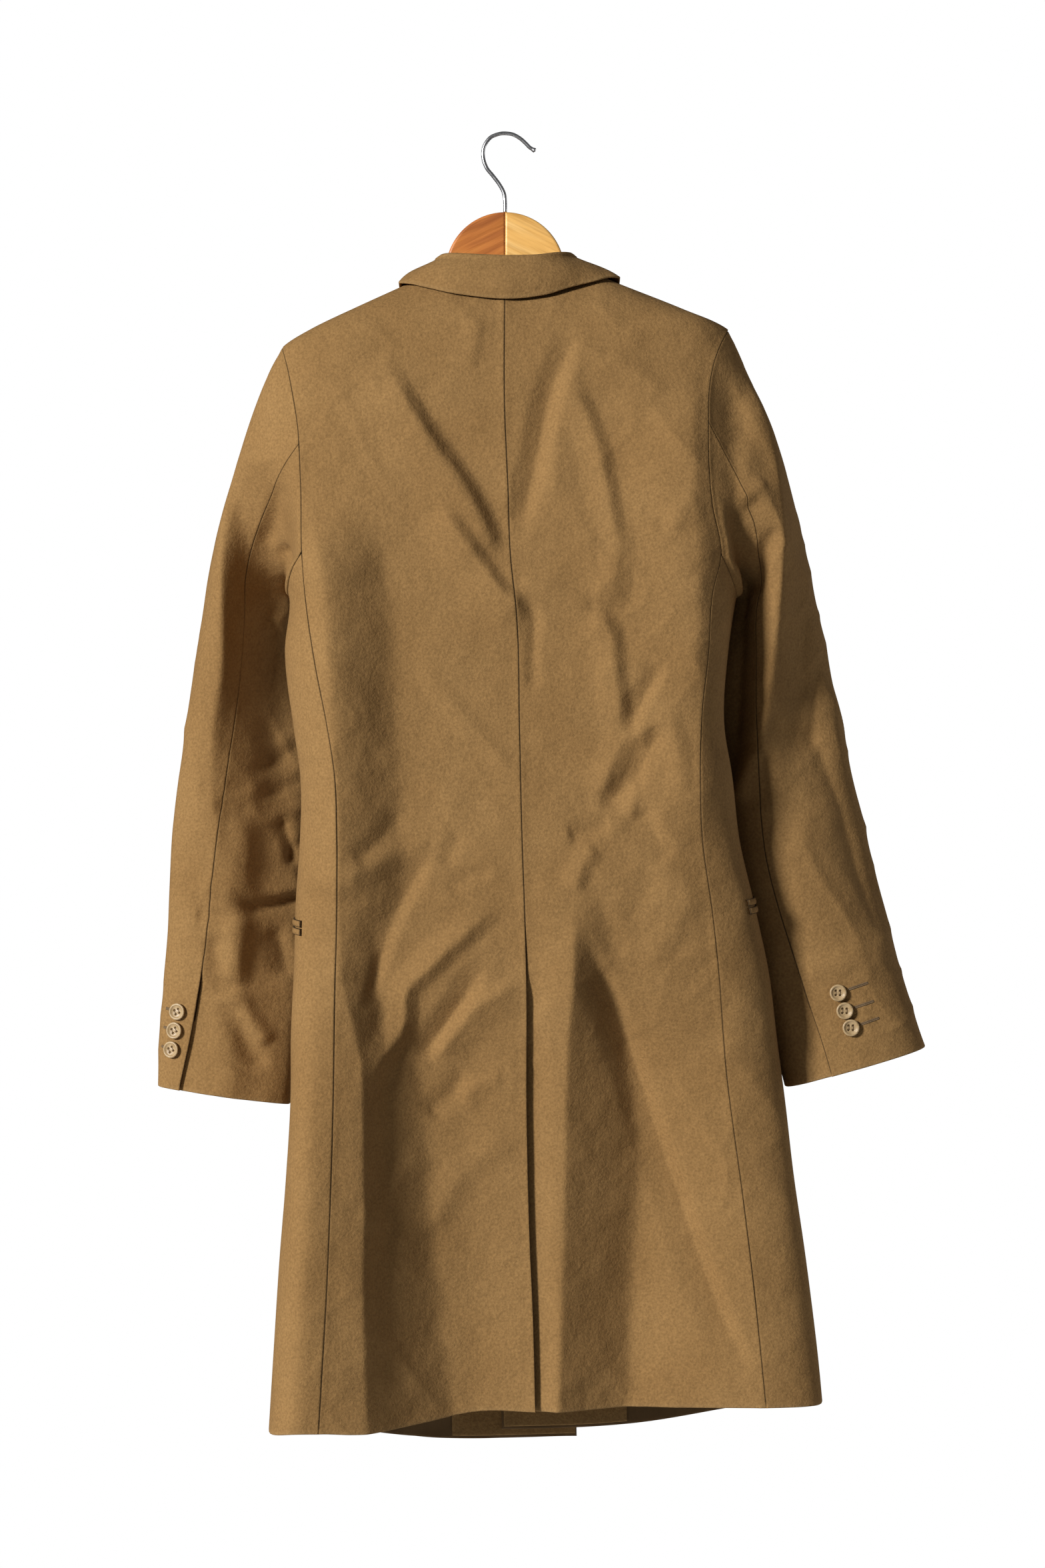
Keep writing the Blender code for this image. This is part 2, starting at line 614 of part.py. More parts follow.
def collar_mid(sections, folds):
    """Middle of the collar's wall: the stand up from the neck seam, the roll, then the fall to its edge."""
    place = np.arange(len(COLLAR))
    at = np.linspace(0, len(COLLAR) - 1, sections)
    value = {name: smooth(place, column(COLLAR, name), at) for name in Station._fields}
    face = np.where(value["face"] < 0, BACK, FRONT)
    edge_depth = np.where(
        face == BACK,
        depth_at(value["edge_x"], value["edge_z"], BACK),
        depth_at(value["edge_x"], value["edge_z"], FRONT),
    )
    edge = np.stack([value["edge_x"], edge_depth, value["edge_z"]], axis=-1)
    edge = edge + body_normals(edge) * (COLLAR_LIFT + WALL / 2)
    roll = np.stack([value["roll_x"], value["roll_y"], value["roll_z"]], axis=-1)
    behind = value["roll_y"] < 0
    depth_behind = depth_at(value["neck_x"], value["neck_z"], BACK)
    depth_before = depth_at(value["neck_x"], value["neck_z"], FRONT)
    neck_y = np.where(behind, depth_behind + 1, depth_before - 3)
    neck = np.stack([value["neck_x"], neck_y, value["neck_z"] + 2], axis=-1)
    out = edge - neck
    out[:, 2] = 0
    out = out / np.linalg.norm(out, axis=-1, keepdims=True)
    up = np.array([0, 0, 1.0])
    turns = np.linspace(pi, 0, folds)
    fold = [roll + COLLAR_FOLD * (np.cos(turn) * out + (np.sin(turn) - 1) * up) for turn in turns]
    fall = [fold[-1] + (edge - fold[-1]) * s + out * 5 * np.sin(pi * s) for s in (0.3, 0.65, 1.0)]
    stand = [neck + (fold[0] - neck) * s for s in (0, 0.5)]
    return np.stack([*stand, *fold, *fall], axis=1)


def grid_normals(points):
    normals = np.cross(np.gradient(points, axis=0), np.gradient(points, axis=1))
    return normals / np.linalg.norm(normals, axis=-1, keepdims=True)


# Meshes

def material(name, colour, roughness, metallic=0.0):
    made = bpy.data.materials.new(name)
    made.use_nodes = True
    shader = made.node_tree.nodes["Principled BSDF"]
    shader.inputs["Base Color"].default_value = colour
    shader.inputs["Roughness"].default_value = roughness
    shader.inputs["Metallic"].default_value = metallic
    return made


def add_object(name, data, look):
    made = bpy.data.objects.new(name, data)
    own_look = look.copy()
    own_look.name = f"{name}_{look.name}"
    made.data.materials.append(own_look)
    bpy.data.collections["long_coat"].objects.link(made)
    return made


def wall(name, outer, inner, look):
    """A closed wall lofted between two grids of points."""
    rows, columns = outer.shape[:2]
    points = np.concatenate([outer.reshape(-1, 3), inner.reshape(-1, 3)]) * MM
    index = np.arange(rows * columns).reshape(rows, columns)
    corners = np.stack([index[:-1, :-1], index[:-1, 1:], index[1:, 1:], index[1:, :-1]], axis=-1)
    corners = corners.reshape(-1, 4)
    rim = np.concatenate([index[0], index[1:, -1], index[-1, -2::-1], index[-2:0:-1, 0]])
    ahead = np.roll(rim, -1)
    back = rows * columns
    faces = np.concatenate([
        corners,
        corners[:, ::-1] + back,
        np.stack([ahead, rim, rim + back, ahead + back], axis=-1),
    ])
    mesh = bpy.data.meshes.new(name)
    mesh.from_pydata(points.tolist(), [], faces.tolist())
    shaped = bmesh.new()
    shaped.from_mesh(mesh)
    bmesh.ops.recalc_face_normals(shaped, faces=shaped.faces)
    shaped.to_mesh(mesh)
    shaped.free()
    mesh.shade_smooth()
    mesh.set_sharp_from_angle(angle=radians(40))
    return add_object(name, mesh, look)


def cloth(name, panel, look, thickness=WALL):
    points, normals = panel
    return wall(name, points, points - normals * thickness, look)


def button(name, centre, normal, diameter, look):
    """A turned button with a raised rim, its back on the cloth."""
    radius = diameter / 2
    height = diameter * 0.2
    profile = [
        (0, height * 0.62), (radius * 0.62, height * 0.62), (radius * 0.78, height),
        (radius * 0.93, height * 0.95), (radius, height * 0.6), (radius * 0.85, 0), (0, 0),
    ]
    mesh = bpy.data.meshes.new(name)
    lines = [(i, i + 1) for i in range(len(profile) - 1)]
    mesh.from_pydata([(x * MM, 0, z * MM) for x, z in profile], lines, [])
    made = add_object(name, mesh, look)
    screw = made.modifiers.new("turn", "SCREW")
    screw.steps = screw.render_steps = 16
    screw.use_merge_vertices = True
    screw.merge_threshold = 0.00001
    upright = Vector((0, 0, 1)).rotation_difference(Vector(normal))
    place = Matrix.Translation(Vector(centre + normal * BUTTON_GAP) * MM)
    made.matrix_world = place @ upright.to_matrix().to_4x4()
    return made


def cuff_button(name, side, above_hem, look):
    """A button on the upper sleeve beside its vent."""
    heights = column(SLEEVE_RINGS[side], "height")
    along = smooth(heights, np.arange(len(heights)), np.array([heights[-1] + above_hem]))
    turn = hind_turn(side, along) - CUFF_BUTTON_TURN
    return button(name, sleeve_point(side, turn, along)[0], sleeve_normals(side, turn, along)[0],
                  CUFF_BUTTON_DIAMETER, look)


def front_button(name, height, look):
    """A button on the left front, inside its edge."""
    height = np.array([height])
    place = on_body(across_at(FRONT_EDGE[LEFT], height) - FRONT_BUTTON_INSET, height, FRONT)
    return button(name, place[0], body_normals(place)[0], FRONT_BUTTON_DIAMETER, look)


def jet(name, side, low, high, look):
    """One welt of a pocket, laid across the side panel and the front."""
    turn, rise = np.meshgrid(np.linspace(*POCKET_TURNS, 17), np.linspace(low, high, 3))
    points = around(side, turn, POCKET_HEIGHT[side] + rise + POCKET_SLANT * turn)
    normals = body_normals(points)
    lift = fold_heights(BACK_FOLDS, points[..., 0], points[..., 2]) * ramp(-normals[..., 1], 0.05, 0.6)
    base = points + normals * (lift + SEAM_GAP)[..., None]
    return wall(name, base + normals * JET_WALL, base, look)


def shoulder_height(side, across):
    rows = [row for row in SECTIONS if row.height >= SHOULDER_TIP[side].height]
    edges = column(rows, "left" if side == LEFT else "right")
    return smooth(edges, column(rows, "height"), across)


def hanger_half(name, side, look):
    """Half of the hanger's board: the hump at its neck and one arm under the shoulder."""
    centre = HANGER_TOP - HANGER_HUMP_RADIUS
    turns = np.linspace(0, 1.62, 13)
    hump = [(side * HANGER_HUMP_RADIUS * sin(a), centre + HANGER_HUMP_RADIUS * cos(a)) for a in turns]
    hump[0] = (side * SEAM_GAP / 2, HANGER_TOP)
    reach = np.linspace(62, HANGER_REACH, 12)
    seat = WALL * 1.15 + HANGER_SEAT

    def arm_point(x, drop):
        return side * x, float(shoulder_height(side, side * x)) - seat - drop

    top = [arm_point(x, 0) for x in reach]
    end_x, end_z = top[-1]
    tip = [(end_x + side * 5 * sin(a), end_z - 6 + 6 * cos(a)) for a in np.linspace(0.5, pi, 5)]
    under = [arm_point(x, HANGER_ARM_DEPTH - 12 * (x / HANGER_REACH) ** 2) for x in np.linspace(160, 40, 7)]
    foot = [(side * SEAM_GAP / 2, -152.0)]
    outline = [*hump, *top, *tip, *under, *foot]
    curve = bpy.data.curves.new(name, "CURVE")
    curve.dimensions = "2D"
    curve.fill_mode = "BOTH"
    curve.extrude = HANGER_THICKNESS / 2 * MM
    line = curve.splines.new("POLY")
    line.points.add(len(outline) - 1)
    for point, (x, z) in zip(line.points, outline):
        point.co = (x * MM, z * MM, 0, 1)
    line.use_cyclic_u = True
    made = add_object(name, curve, look)
    made.rotation_euler = (radians(90), 0, 0)
    return made


def hook(name, look):
    curve = bpy.data.curves.new(name, "CURVE")
    curve.dimensions = "3D"
    curve.bevel_depth = HOOK_WIRE_DIAMETER / 2 * MM
    curve.bevel_resolution = 1
    curve.use_fill_caps = True
    line = curve.splines.new("POLY")
    place = np.arange(len(HOOK_PATH))
    at = np.linspace(0, len(HOOK_PATH) - 1, 34)
    xs = smooth(place, [p[0] for p in HOOK_PATH], at)
    zs = smooth(place, [p[1] for p in HOOK_PATH], at)
    line.points.add(len(at) - 1)
    for point, x, z in zip(line.points, xs, zs):
        point.co = (x * MM, 0, z * MM, 1)
    return add_object(name, curve, look)


def main():
    for old in list(bpy.data.objects):
        bpy.data.objects.remove(old)
    bpy.context.scene.collection.children.link(bpy.data.collections.new("long_coat"))
    cloth_look = material("coat_cloth", CLOTH_COLOUR, 0.9)
    button_look = material("button_resin", BUTTON_COLOUR, 0.4)
    names = {LEFT: "left", RIGHT: "right"}
    for side, word in names.items():
        cloth(f"back_{word}", back_panel(side, 14), cloth_look)
        cloth(f"side_{word}", side_panel(side, 8), cloth_look)
        cloth(f"front_{word}", front_panel(side, 10), cloth_look)
        cloth(f"facing_{word}", facing(side, 18, 5), cloth_look, FACING_WALL)
        cloth(f"lapel_{word}", lapel(side, 9, 5), cloth_look)
        cloth(f"sleeve_{word}_upper", sleeve_panel(side, True, 8, 14, 11), cloth_look)
        cloth(f"sleeve_{word}_under", sleeve_panel(side, False, 8, 14, 9), cloth_look)
        for count, above in enumerate(CUFF_BUTTONS_ABOVE_HEM, 1):
            cuff_button(f"cuff_button_{word}_{count}", side, above, button_look)
        jet(f"jet_{word}_upper", side, JET_GAP / 2, JET_GAP / 2 + JET_HEIGHT, cloth_look)
        jet(f"jet_{word}_lower", side, -JET_GAP / 2 - JET_HEIGHT, -JET_GAP / 2, cloth_look)
    for count, height in enumerate(FRONT_BUTTON_HEIGHTS, 1):
        front_button(f"front_button_{count}", height, button_look)
    middle = collar_mid(29, 5)
    shift = grid_normals(middle) * WALL / 2
    wall("collar", middle + shift, middle - shift, cloth_look)
    hook("hook", material("hook_steel", STEEL_COLOUR, 0.2, 1.0))
    hanger_half("hanger_left", LEFT, material("wood_dark", DARK_WOOD_COLOUR, 0.4))
    hanger_half("hanger_right", RIGHT, material("wood_light", LIGHT_WOOD_COLOUR, 0.4))


main()
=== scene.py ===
"""Looks of the long coat on its hanger: napped cloth, buttons, wood, wire, and the studio round them.

The coat hangs with its back towards -Y, its left sleeve at -X and +Z up.
The origin is the inside top of the hanger's hook.
Tables are in millimetres; the meshes are made in metres.
"""

from collections import namedtuple
from functools import lru_cache
from math import cos, pi, radians, sin

import bmesh
import bpy
import numpy as np
from mathutils import Matrix, Vector


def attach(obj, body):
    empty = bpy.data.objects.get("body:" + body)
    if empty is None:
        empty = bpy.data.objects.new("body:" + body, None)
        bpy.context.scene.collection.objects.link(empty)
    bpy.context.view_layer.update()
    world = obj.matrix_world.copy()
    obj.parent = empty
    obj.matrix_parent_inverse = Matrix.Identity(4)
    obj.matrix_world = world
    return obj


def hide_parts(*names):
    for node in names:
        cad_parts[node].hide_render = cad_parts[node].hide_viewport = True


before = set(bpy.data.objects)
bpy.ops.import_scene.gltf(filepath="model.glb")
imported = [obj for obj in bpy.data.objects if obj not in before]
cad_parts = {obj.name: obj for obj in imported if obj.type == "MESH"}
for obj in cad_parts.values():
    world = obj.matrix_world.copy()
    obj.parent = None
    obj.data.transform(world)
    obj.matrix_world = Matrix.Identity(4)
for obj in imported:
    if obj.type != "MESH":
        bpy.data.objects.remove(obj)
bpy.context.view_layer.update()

MM = 0.001
LEFT, RIGHT = -1, 1
BACK, FRONT = -1, 1
TO_BACK = np.array([0.0, -1.0, 0.0])
WORDS = {LEFT: "left", RIGHT: "right"}

# Cloth
WALL = 2.0
ROLL = 1.5
FOOT_ROUNDING = 0.16
CREASE_STRENGTH = 1.05
SEAM_SHADE = 1.0
SEAM_RIDGE = 0.5
SEAM_RIDGE_REACH = 8.0
SEAM_GAP = -0.3
ARMHOLE_GAP = -0.3
SECTION_POWER = 4.5
EDGE_SNAP = 0.0003
EDGE_STEPS = (0.0, 0.35, 0.8, 1.5, 2.6)

# Overlaps of the back vent, the sleeve vents and the fronts
VENT_TOP = -744.0
VENT_DROP = 3.4
CUFF_VENT_LENGTH = 118.0
CUFF_UNDERLAP_TURN = 12.0
CUFF_VENT_DROP = 3.4
CUFF_LAP_DELAY = 0.7
FRONT_DROP = 5.4
FACING_WIDTH = 112.0
FACING_WALL = 1.5
FACING_GAP = 1.0
FACING_HEM_RISE = 3.0
FRONT_NECK_DROP = 4.0
EDGE_INSET = 1.5

# Collar and lapels
COLLAR_FOLD = 3.2
COLLAR_LIFT = 3.8
LAPEL_LIFT = 1.25
BREAK_HEIGHT = -430.0
LAPEL_TOP = -188.0
LAPEL_SLANT = 0.22

# Trim
CUFF_BUTTON_DIAMETER = 15.2
CUFF_BUTTON_TURN = 0.33
BUTTON_GAP = 0.7
CUFF_BUTTONS_ABOVE_HEM = (70.0, 53.0, 36.5)
FRONT_BUTTON_DIAMETER = 25.0
FRONT_BUTTON_INSET = 24.0
FRONT_BUTTON_HEIGHTS = (-448.0, -560.0, -672.0)
JET_HEIGHT = 6.0
JET_WALL = 1.4
JET_GAP = 1.2
POCKET_HEIGHT = {LEFT: -701.0, RIGHT: -683.0}
POCKET_TURNS = (-0.42, 1.05)
POCKET_SLANT = 4.0
BUTTONHOLE_WIDTH = 2.6
# How far the painted seam shade darkens the cloth towards near-black brown
PAINTED_SEAM_SHADE_DARKNESS = 0.9
STITCH_PITCH = 0.9

# Hanger
HANGER_THICKNESS = 12.0
HANGER_EDGE = 2.2
HANGER_TOP = -69.0
HANGER_SEAT = 1.8
HANGER_HUMP_RADIUS = 53.0
HANGER_ARM_DEPTH = 30.0
HANGER_REACH = 172.0
HANGER_FOOT = -152.0
WOOD_TILT = 0.45
HOOK_WIRE_DIAMETER = 3.4
HOOK_KNOB_DIAMETER = 4.6

# Rough length and width of each piece of cloth, and how many rows and columns its grid has
Grid = namedtuple("Grid", "length width rows columns")
BACK_GRID = Grid(1000, 180, 400, 92)
SIDE_GRID = Grid(760, 110, 240, 26)
FRONT_GRID = Grid(1030, 190, 200, 40)
FACING_GRID = Grid(730, FACING_WIDTH, 90, 12)
LAPEL_GRID = Grid(230, 60, 60, 22)
COLLAR_GRID = Grid(480, 40, 200, 20)
SLEEVE_CAP_LENGTH = 150
SLEEVE_CAP_ROWS = 76
SLEEVE_LAST_STEP = 45
SLEEVE_ROWS = 180
SLEEVE_WIDTH = 150
SLEEVE_SEAM_RADIUS = 90
UPPER_SLEEVE_COLUMNS = 74
UNDER_SLEEVE_COLUMNS = 48
JET_COLUMNS = 64
CROWDING = 0.35

# Seeds of the uneven waves
BACK_SEED, FRONT_SEED, SIDE_SEED, COLLAR_SEED = 11, 21, 31, 61
SLEEVE_SEEDS = {LEFT: 41, RIGHT: 51}

# Level sections of the body: height, then how far the cloth reaches to each side
Section = namedtuple("Section", "height left right back front")
SECTIONS = (
    Section(-112, -37, 44, -24, 22),
    Section(-123, -61, 72, -33, 30),
    Section(-139, -95, 111, -47, 42),
    Section(-158, -135, 157, -60, 50),
    Section(-176, -172, 197, -66, 55),
    Section(-191, -196, 206, -69, 58),
    Section(-215, -205, 211, -72, 60),
    Section(-250, -210, 214, -74, 62),
    Section(-300, -213, 216, -76, 63),
    Section(-366, -207, 212, -75, 63),
    Section(-410, -190, 204, -73, 62),
    Section(-460, -194, 197, -71, 61),
    Section(-530, -186, 194, -68, 59),
    Section(-565, -181, 200, -67, 58),
    Section(-630, -181, 208, -68, 59),
    Section(-690, -185, 222, -70, 61),
    Section(-740, -186, 233, -72, 63),
    Section(-800, -188, 241, -75, 65),
    Section(-850, -188, 248, -77, 67),
    Section(-925, -192, 257, -79, 70),
    Section(-1000, -198, 268, -81, 73),
    Section(-1080, -203, 278, -83, 76),
    Section(-1175, -209, 287, -85, 79),
)

# Lines of the cut, each point a height and the distance from the hook's plumb line
Mark = namedtuple("Mark", "height across")
SHOULDER_TIP = {LEFT: Mark(-191, -196), RIGHT: Mark(-176, 197)}
NECK_POINT = {LEFT: Mark(-123, -61), RIGHT: Mark(-119, 62)}
CENTRE_BACK = (
    Mark(-140, 0), Mark(-250, 0), Mark(-322, 3), Mark(-378, 5), Mark(-425, 10), Mark(-533, 13),
    Mark(-620, 15), Mark(-678, 17), Mark(-744, 19), Mark(-870, 19.5), Mark(-976, 22), Mark(-1046, 25),
    Mark(-1125, 27),
)
BACK_SEAM = {
    LEFT: (
        Mark(-191, -196), Mark(-213, -190), Mark(-238, -185), Mark(-262, -181), Mark(-310, -178),
        Mark(-376, -176), Mark(-414, -173), Mark(-468, -165), Mark(-525, -154), Mark(-570, -147),
        Mark(-620, -145), Mark(-746, -147), Mark(-860, -148), Mark(-1009, -153), Mark(-1150, -161),
    ),
    RIGHT: (
        Mark(-176, 197), Mark(-192, 189), Mark(-208, 183), Mark(-227, 179), Mark(-262, 177),
        Mark(-333, 180), Mark(-377, 188), Mark(-409, 181), Mark(-465, 177), Mark(-510, 172),
        Mark(-570, 170), Mark(-621, 172), Mark(-687, 181), Mark(-741, 187), Mark(-824, 194),
        Mark(-944, 210), Mark(-1009, 218), Mark(-1125, 230),
    ),
}
FRONT_SEAM = {
    LEFT: (
        Mark(-191, -196), Mark(-213, -188), Mark(-245, -178), Mark(-280, -170), Mark(-320, -167),
        Mark(-360, -172), Mark(-385, -176), Mark(-420, -168), Mark(-520, -148), Mark(-620, -138),
        Mark(-740, -140), Mark(-900, -146), Mark(-1165, -158),
    ),
    RIGHT: (
        Mark(-176, 197), Mark(-198, 190), Mark(-230, 181), Mark(-265, 174), Mark(-305, 172),
        Mark(-350, 178), Mark(-380, 184), Mark(-420, 178), Mark(-520, 165), Mark(-620, 165),
        Mark(-740, 178), Mark(-900, 200), Mark(-1145, 228),
    ),
}
FRONT_EDGE = {
    LEFT: (
        Mark(-123, -60), Mark(-150, -49), Mark(-200, -26), Mark(-300, 14), Mark(-400, 46),
        Mark(-430, 52), Mark(-480, 54), Mark(-700, 56), Mark(-1171, 65),
    ),
    RIGHT: (
        Mark(-119, 61), Mark(-150, 53), Mark(-200, 38), Mark(-300, 8), Mark(-400, -14),
        Mark(-430, -17), Mark(-480, -17), Mark(-700, -13), Mark(-1163, -3),
    ),
}
LAPEL_WIDTHS = (Mark(-416, 6), Mark(-320, 50), Mark(-235, 80), Mark(-188, 46))
LAPEL_FOOT = {LEFT: -416.0, RIGHT: -340.0}
UNDERARM = {LEFT: -410.0, RIGHT: -411.0}
BACK_JUNCTION = {LEFT: -376.0, RIGHT: -377.0}
FRONT_JUNCTION = {LEFT: -385.0, RIGHT: -380.0}

# First columns of the right back, from the seam where the vent is closed and where it is open
Lap = namedtuple("Lap", "closed opened")
UNDERLAP = (
    Lap(0, -42), Lap(0.35, -41.6), Lap(0.8, -41), Lap(1.5, -40), Lap(2, -33), Lap(2.6, -26), Lap(3.2, -18),
    Lap(4, -11), Lap(5.4, -4), Lap(7, 3),
)

# Hem heights round the body, against the distance across
HEM_BACK = (
    Mark(-1142, -209), Mark(-1137, -184), Mark(-1137, -161), Mark(-1139, -118), Mark(-1135, -70),
    Mark(-1128, -20), Mark(-1129, 28), Mark(-1128, 135), Mark(-1126, 230), Mark(-1126, 287),
)
HEM_FRONT = {
    LEFT: (Mark(-1142, -209), Mark(-1160, -150), Mark(-1171, -72), Mark(-1170, 66)),
    RIGHT: (Mark(-1163, -4), Mark(-1161, 66), Mark(-1154, 146), Mark(-1145, 195), Mark(-1126, 287)),
}

# Sleeve rings: outer edge of each ring, its width, depth, tilt and place from front to back
Ring = namedtuple("Ring", "across height width depth tilt set_forward seam_turn")
SLEEVE_RINGS = {
    LEFT: (
        Ring(-268, -395, 78, 108, 10, 48, 87),
        Ring(-278, -450, 88, 96, 8, 57, 89),
        Ring(-288, -513, 106, 80, 7, 58, 85),
        Ring(-301, -621, 120, 66, 7, 57, 78),
        Ring(-307, -729, 124, 56, 7, 55, 71),
        Ring(-311, -800, 121, 50, 8, 52, 64),
        Ring(-313, -849, 119, 46, 8, 50, 54),
    ),
    RIGHT: (
        Ring(276, -398, 77, 108, 12, 50, 107),
        Ring(288, -450, 101, 96, 13, 57, 105),
        Ring(301, -513, 115, 80, 13, 58, 108),
        Ring(323, -621, 126, 66, 13, 57, 114),
        Ring(352, -729, 130, 56, 15, 55, 109),
        Ring(366, -780, 129, 50, 16, 52, 107),
        Ring(374, -813, 128, 46, 16, 50, 106),
    ),
}
ARMHOLE_SEAM_TURN = {LEFT: 78.0, RIGHT: 76.0}
FOREARM_SEAM_TURN = 285.0

# Hanging folds: where each line runs and how far it stands out, at these heights
SKIRT_FADE = (640, 690)
SKIRT_LEVELS = (-680, -745, -810, -900, -1025, -1150)
Pleat = namedtuple("Pleat", "across rise soft")
SKIRT_PLEATS = {
    LEFT: (
        Pleat((-171, -172, -172, -172, -177, -184), (0, 22, 36, 47, 46, 44), 8),
        Pleat((-147, -147, -147.5, -149, -154, -161), (0, 16, 25, 29, 28, 28), 8),
        Pleat((-140, -141, -126, -122, -122, -118), (0, 14, 16, 15, 14, 12), 1.2),
        Pleat((-112, -112, -104, -103, -100, -92), (0, -12, -11, -13, -15, -12), 4),
        Pleat((-80, -85, -78, -70, -60, -42), (0, -16, -27, -34, -43, -48), 8),
        Pleat((-40, -40, -40, -35, -25, -15), (0, -13, -30, -39, -48, -51), 10),
        Pleat((17, 19, 19.5, 20, 24.5, 28), (0, -8, -26, -36, -44, -47), 6),
    ),
    RIGHT: (
        Pleat((17, 19, 19.5, 20, 24.5, 28), (0, -11.5, -29.5, -39.5, -47.5, -50.5), 6),
        Pleat((61, 60, 55, 53, 50, 46), (3, 0, -21, -33, -41, -44), 1.2),
        Pleat((85, 94, 106, 118, 112, 109), (0, -22, -51, -66, -74, -77), 6),
        Pleat((180, 187, 193, 204, 220, 236), (0, -9, -25, -36, -41, -43), 20),
    ),
}
SLEEVE_LEVELS = {
    LEFT: (-293, -329, -365, -400, -472, -531, -591, -633, -668, -710, -770, -853),
    RIGHT: (-198, -228, -257, -305, -353, -400, -448, -496, -543, -597, -710, -853),
}
SLEEVE_PLEATS = {
    LEFT: (
        Pleat((-246, -251, -253, -253, -253, -262, -262, -255, -246, -242, -244, -246),
              (0, 3, 3, 3, 3, 2, 2, 2, 2, 2, 2, 0), 3),
        Pleat((-236, -236, -232, -231, -231, -228, -226, -232, -232, -234, -236, -236),
              (0, -18, -28, -32, -32, -27, -16, -10, -11, -8, -5, -2), 5),
        Pleat((-224, -224, -216, -213, -213, -212, -212, -215, -213, -213, -213, -213),
              (0, -20, -38, -46, -48, -46, -31, -22, -24, -19, -12, -6), 6),
        Pleat((-190, -195, -200, -198, -197, -197, -197, -194, -190, -187, -187, -187),
              (0, -22, -38, -47, -50, -50, -36, -28, -32, -26, -18, -9), 8),
    ),
    RIGHT: (
        Pleat((191, 192, 193, 199, 201, 205, 207, 206, 201, 198, 216, 233),
              (0, 2, 4, 6, 8, 12, 16, 20, 26, 32, 34, 30), 5),
        Pleat((219, 226, 232, 239, 244, 243, 238, 233, 227, 224, 242, 260),
              (0, 18, 32, 38, 40, 40, 40, 40, 38, 36, 35, 30), 1.5),
        Pleat((232, 239, 247, 255, 261, 263, 263, 263, 260, 260, 278, 293),
              (0, 6, 10, 12, 12, 12, 14, 18, 26, 34, 36, 30), 5),
        Pleat((245, 251, 258, 268, 278, 285, 293, 300, 308, 317, 335, 353),
              (0, 0, 0, 2, 6, 10, 16, 22, 28, 32, 34, 30), 8),
    ),
}

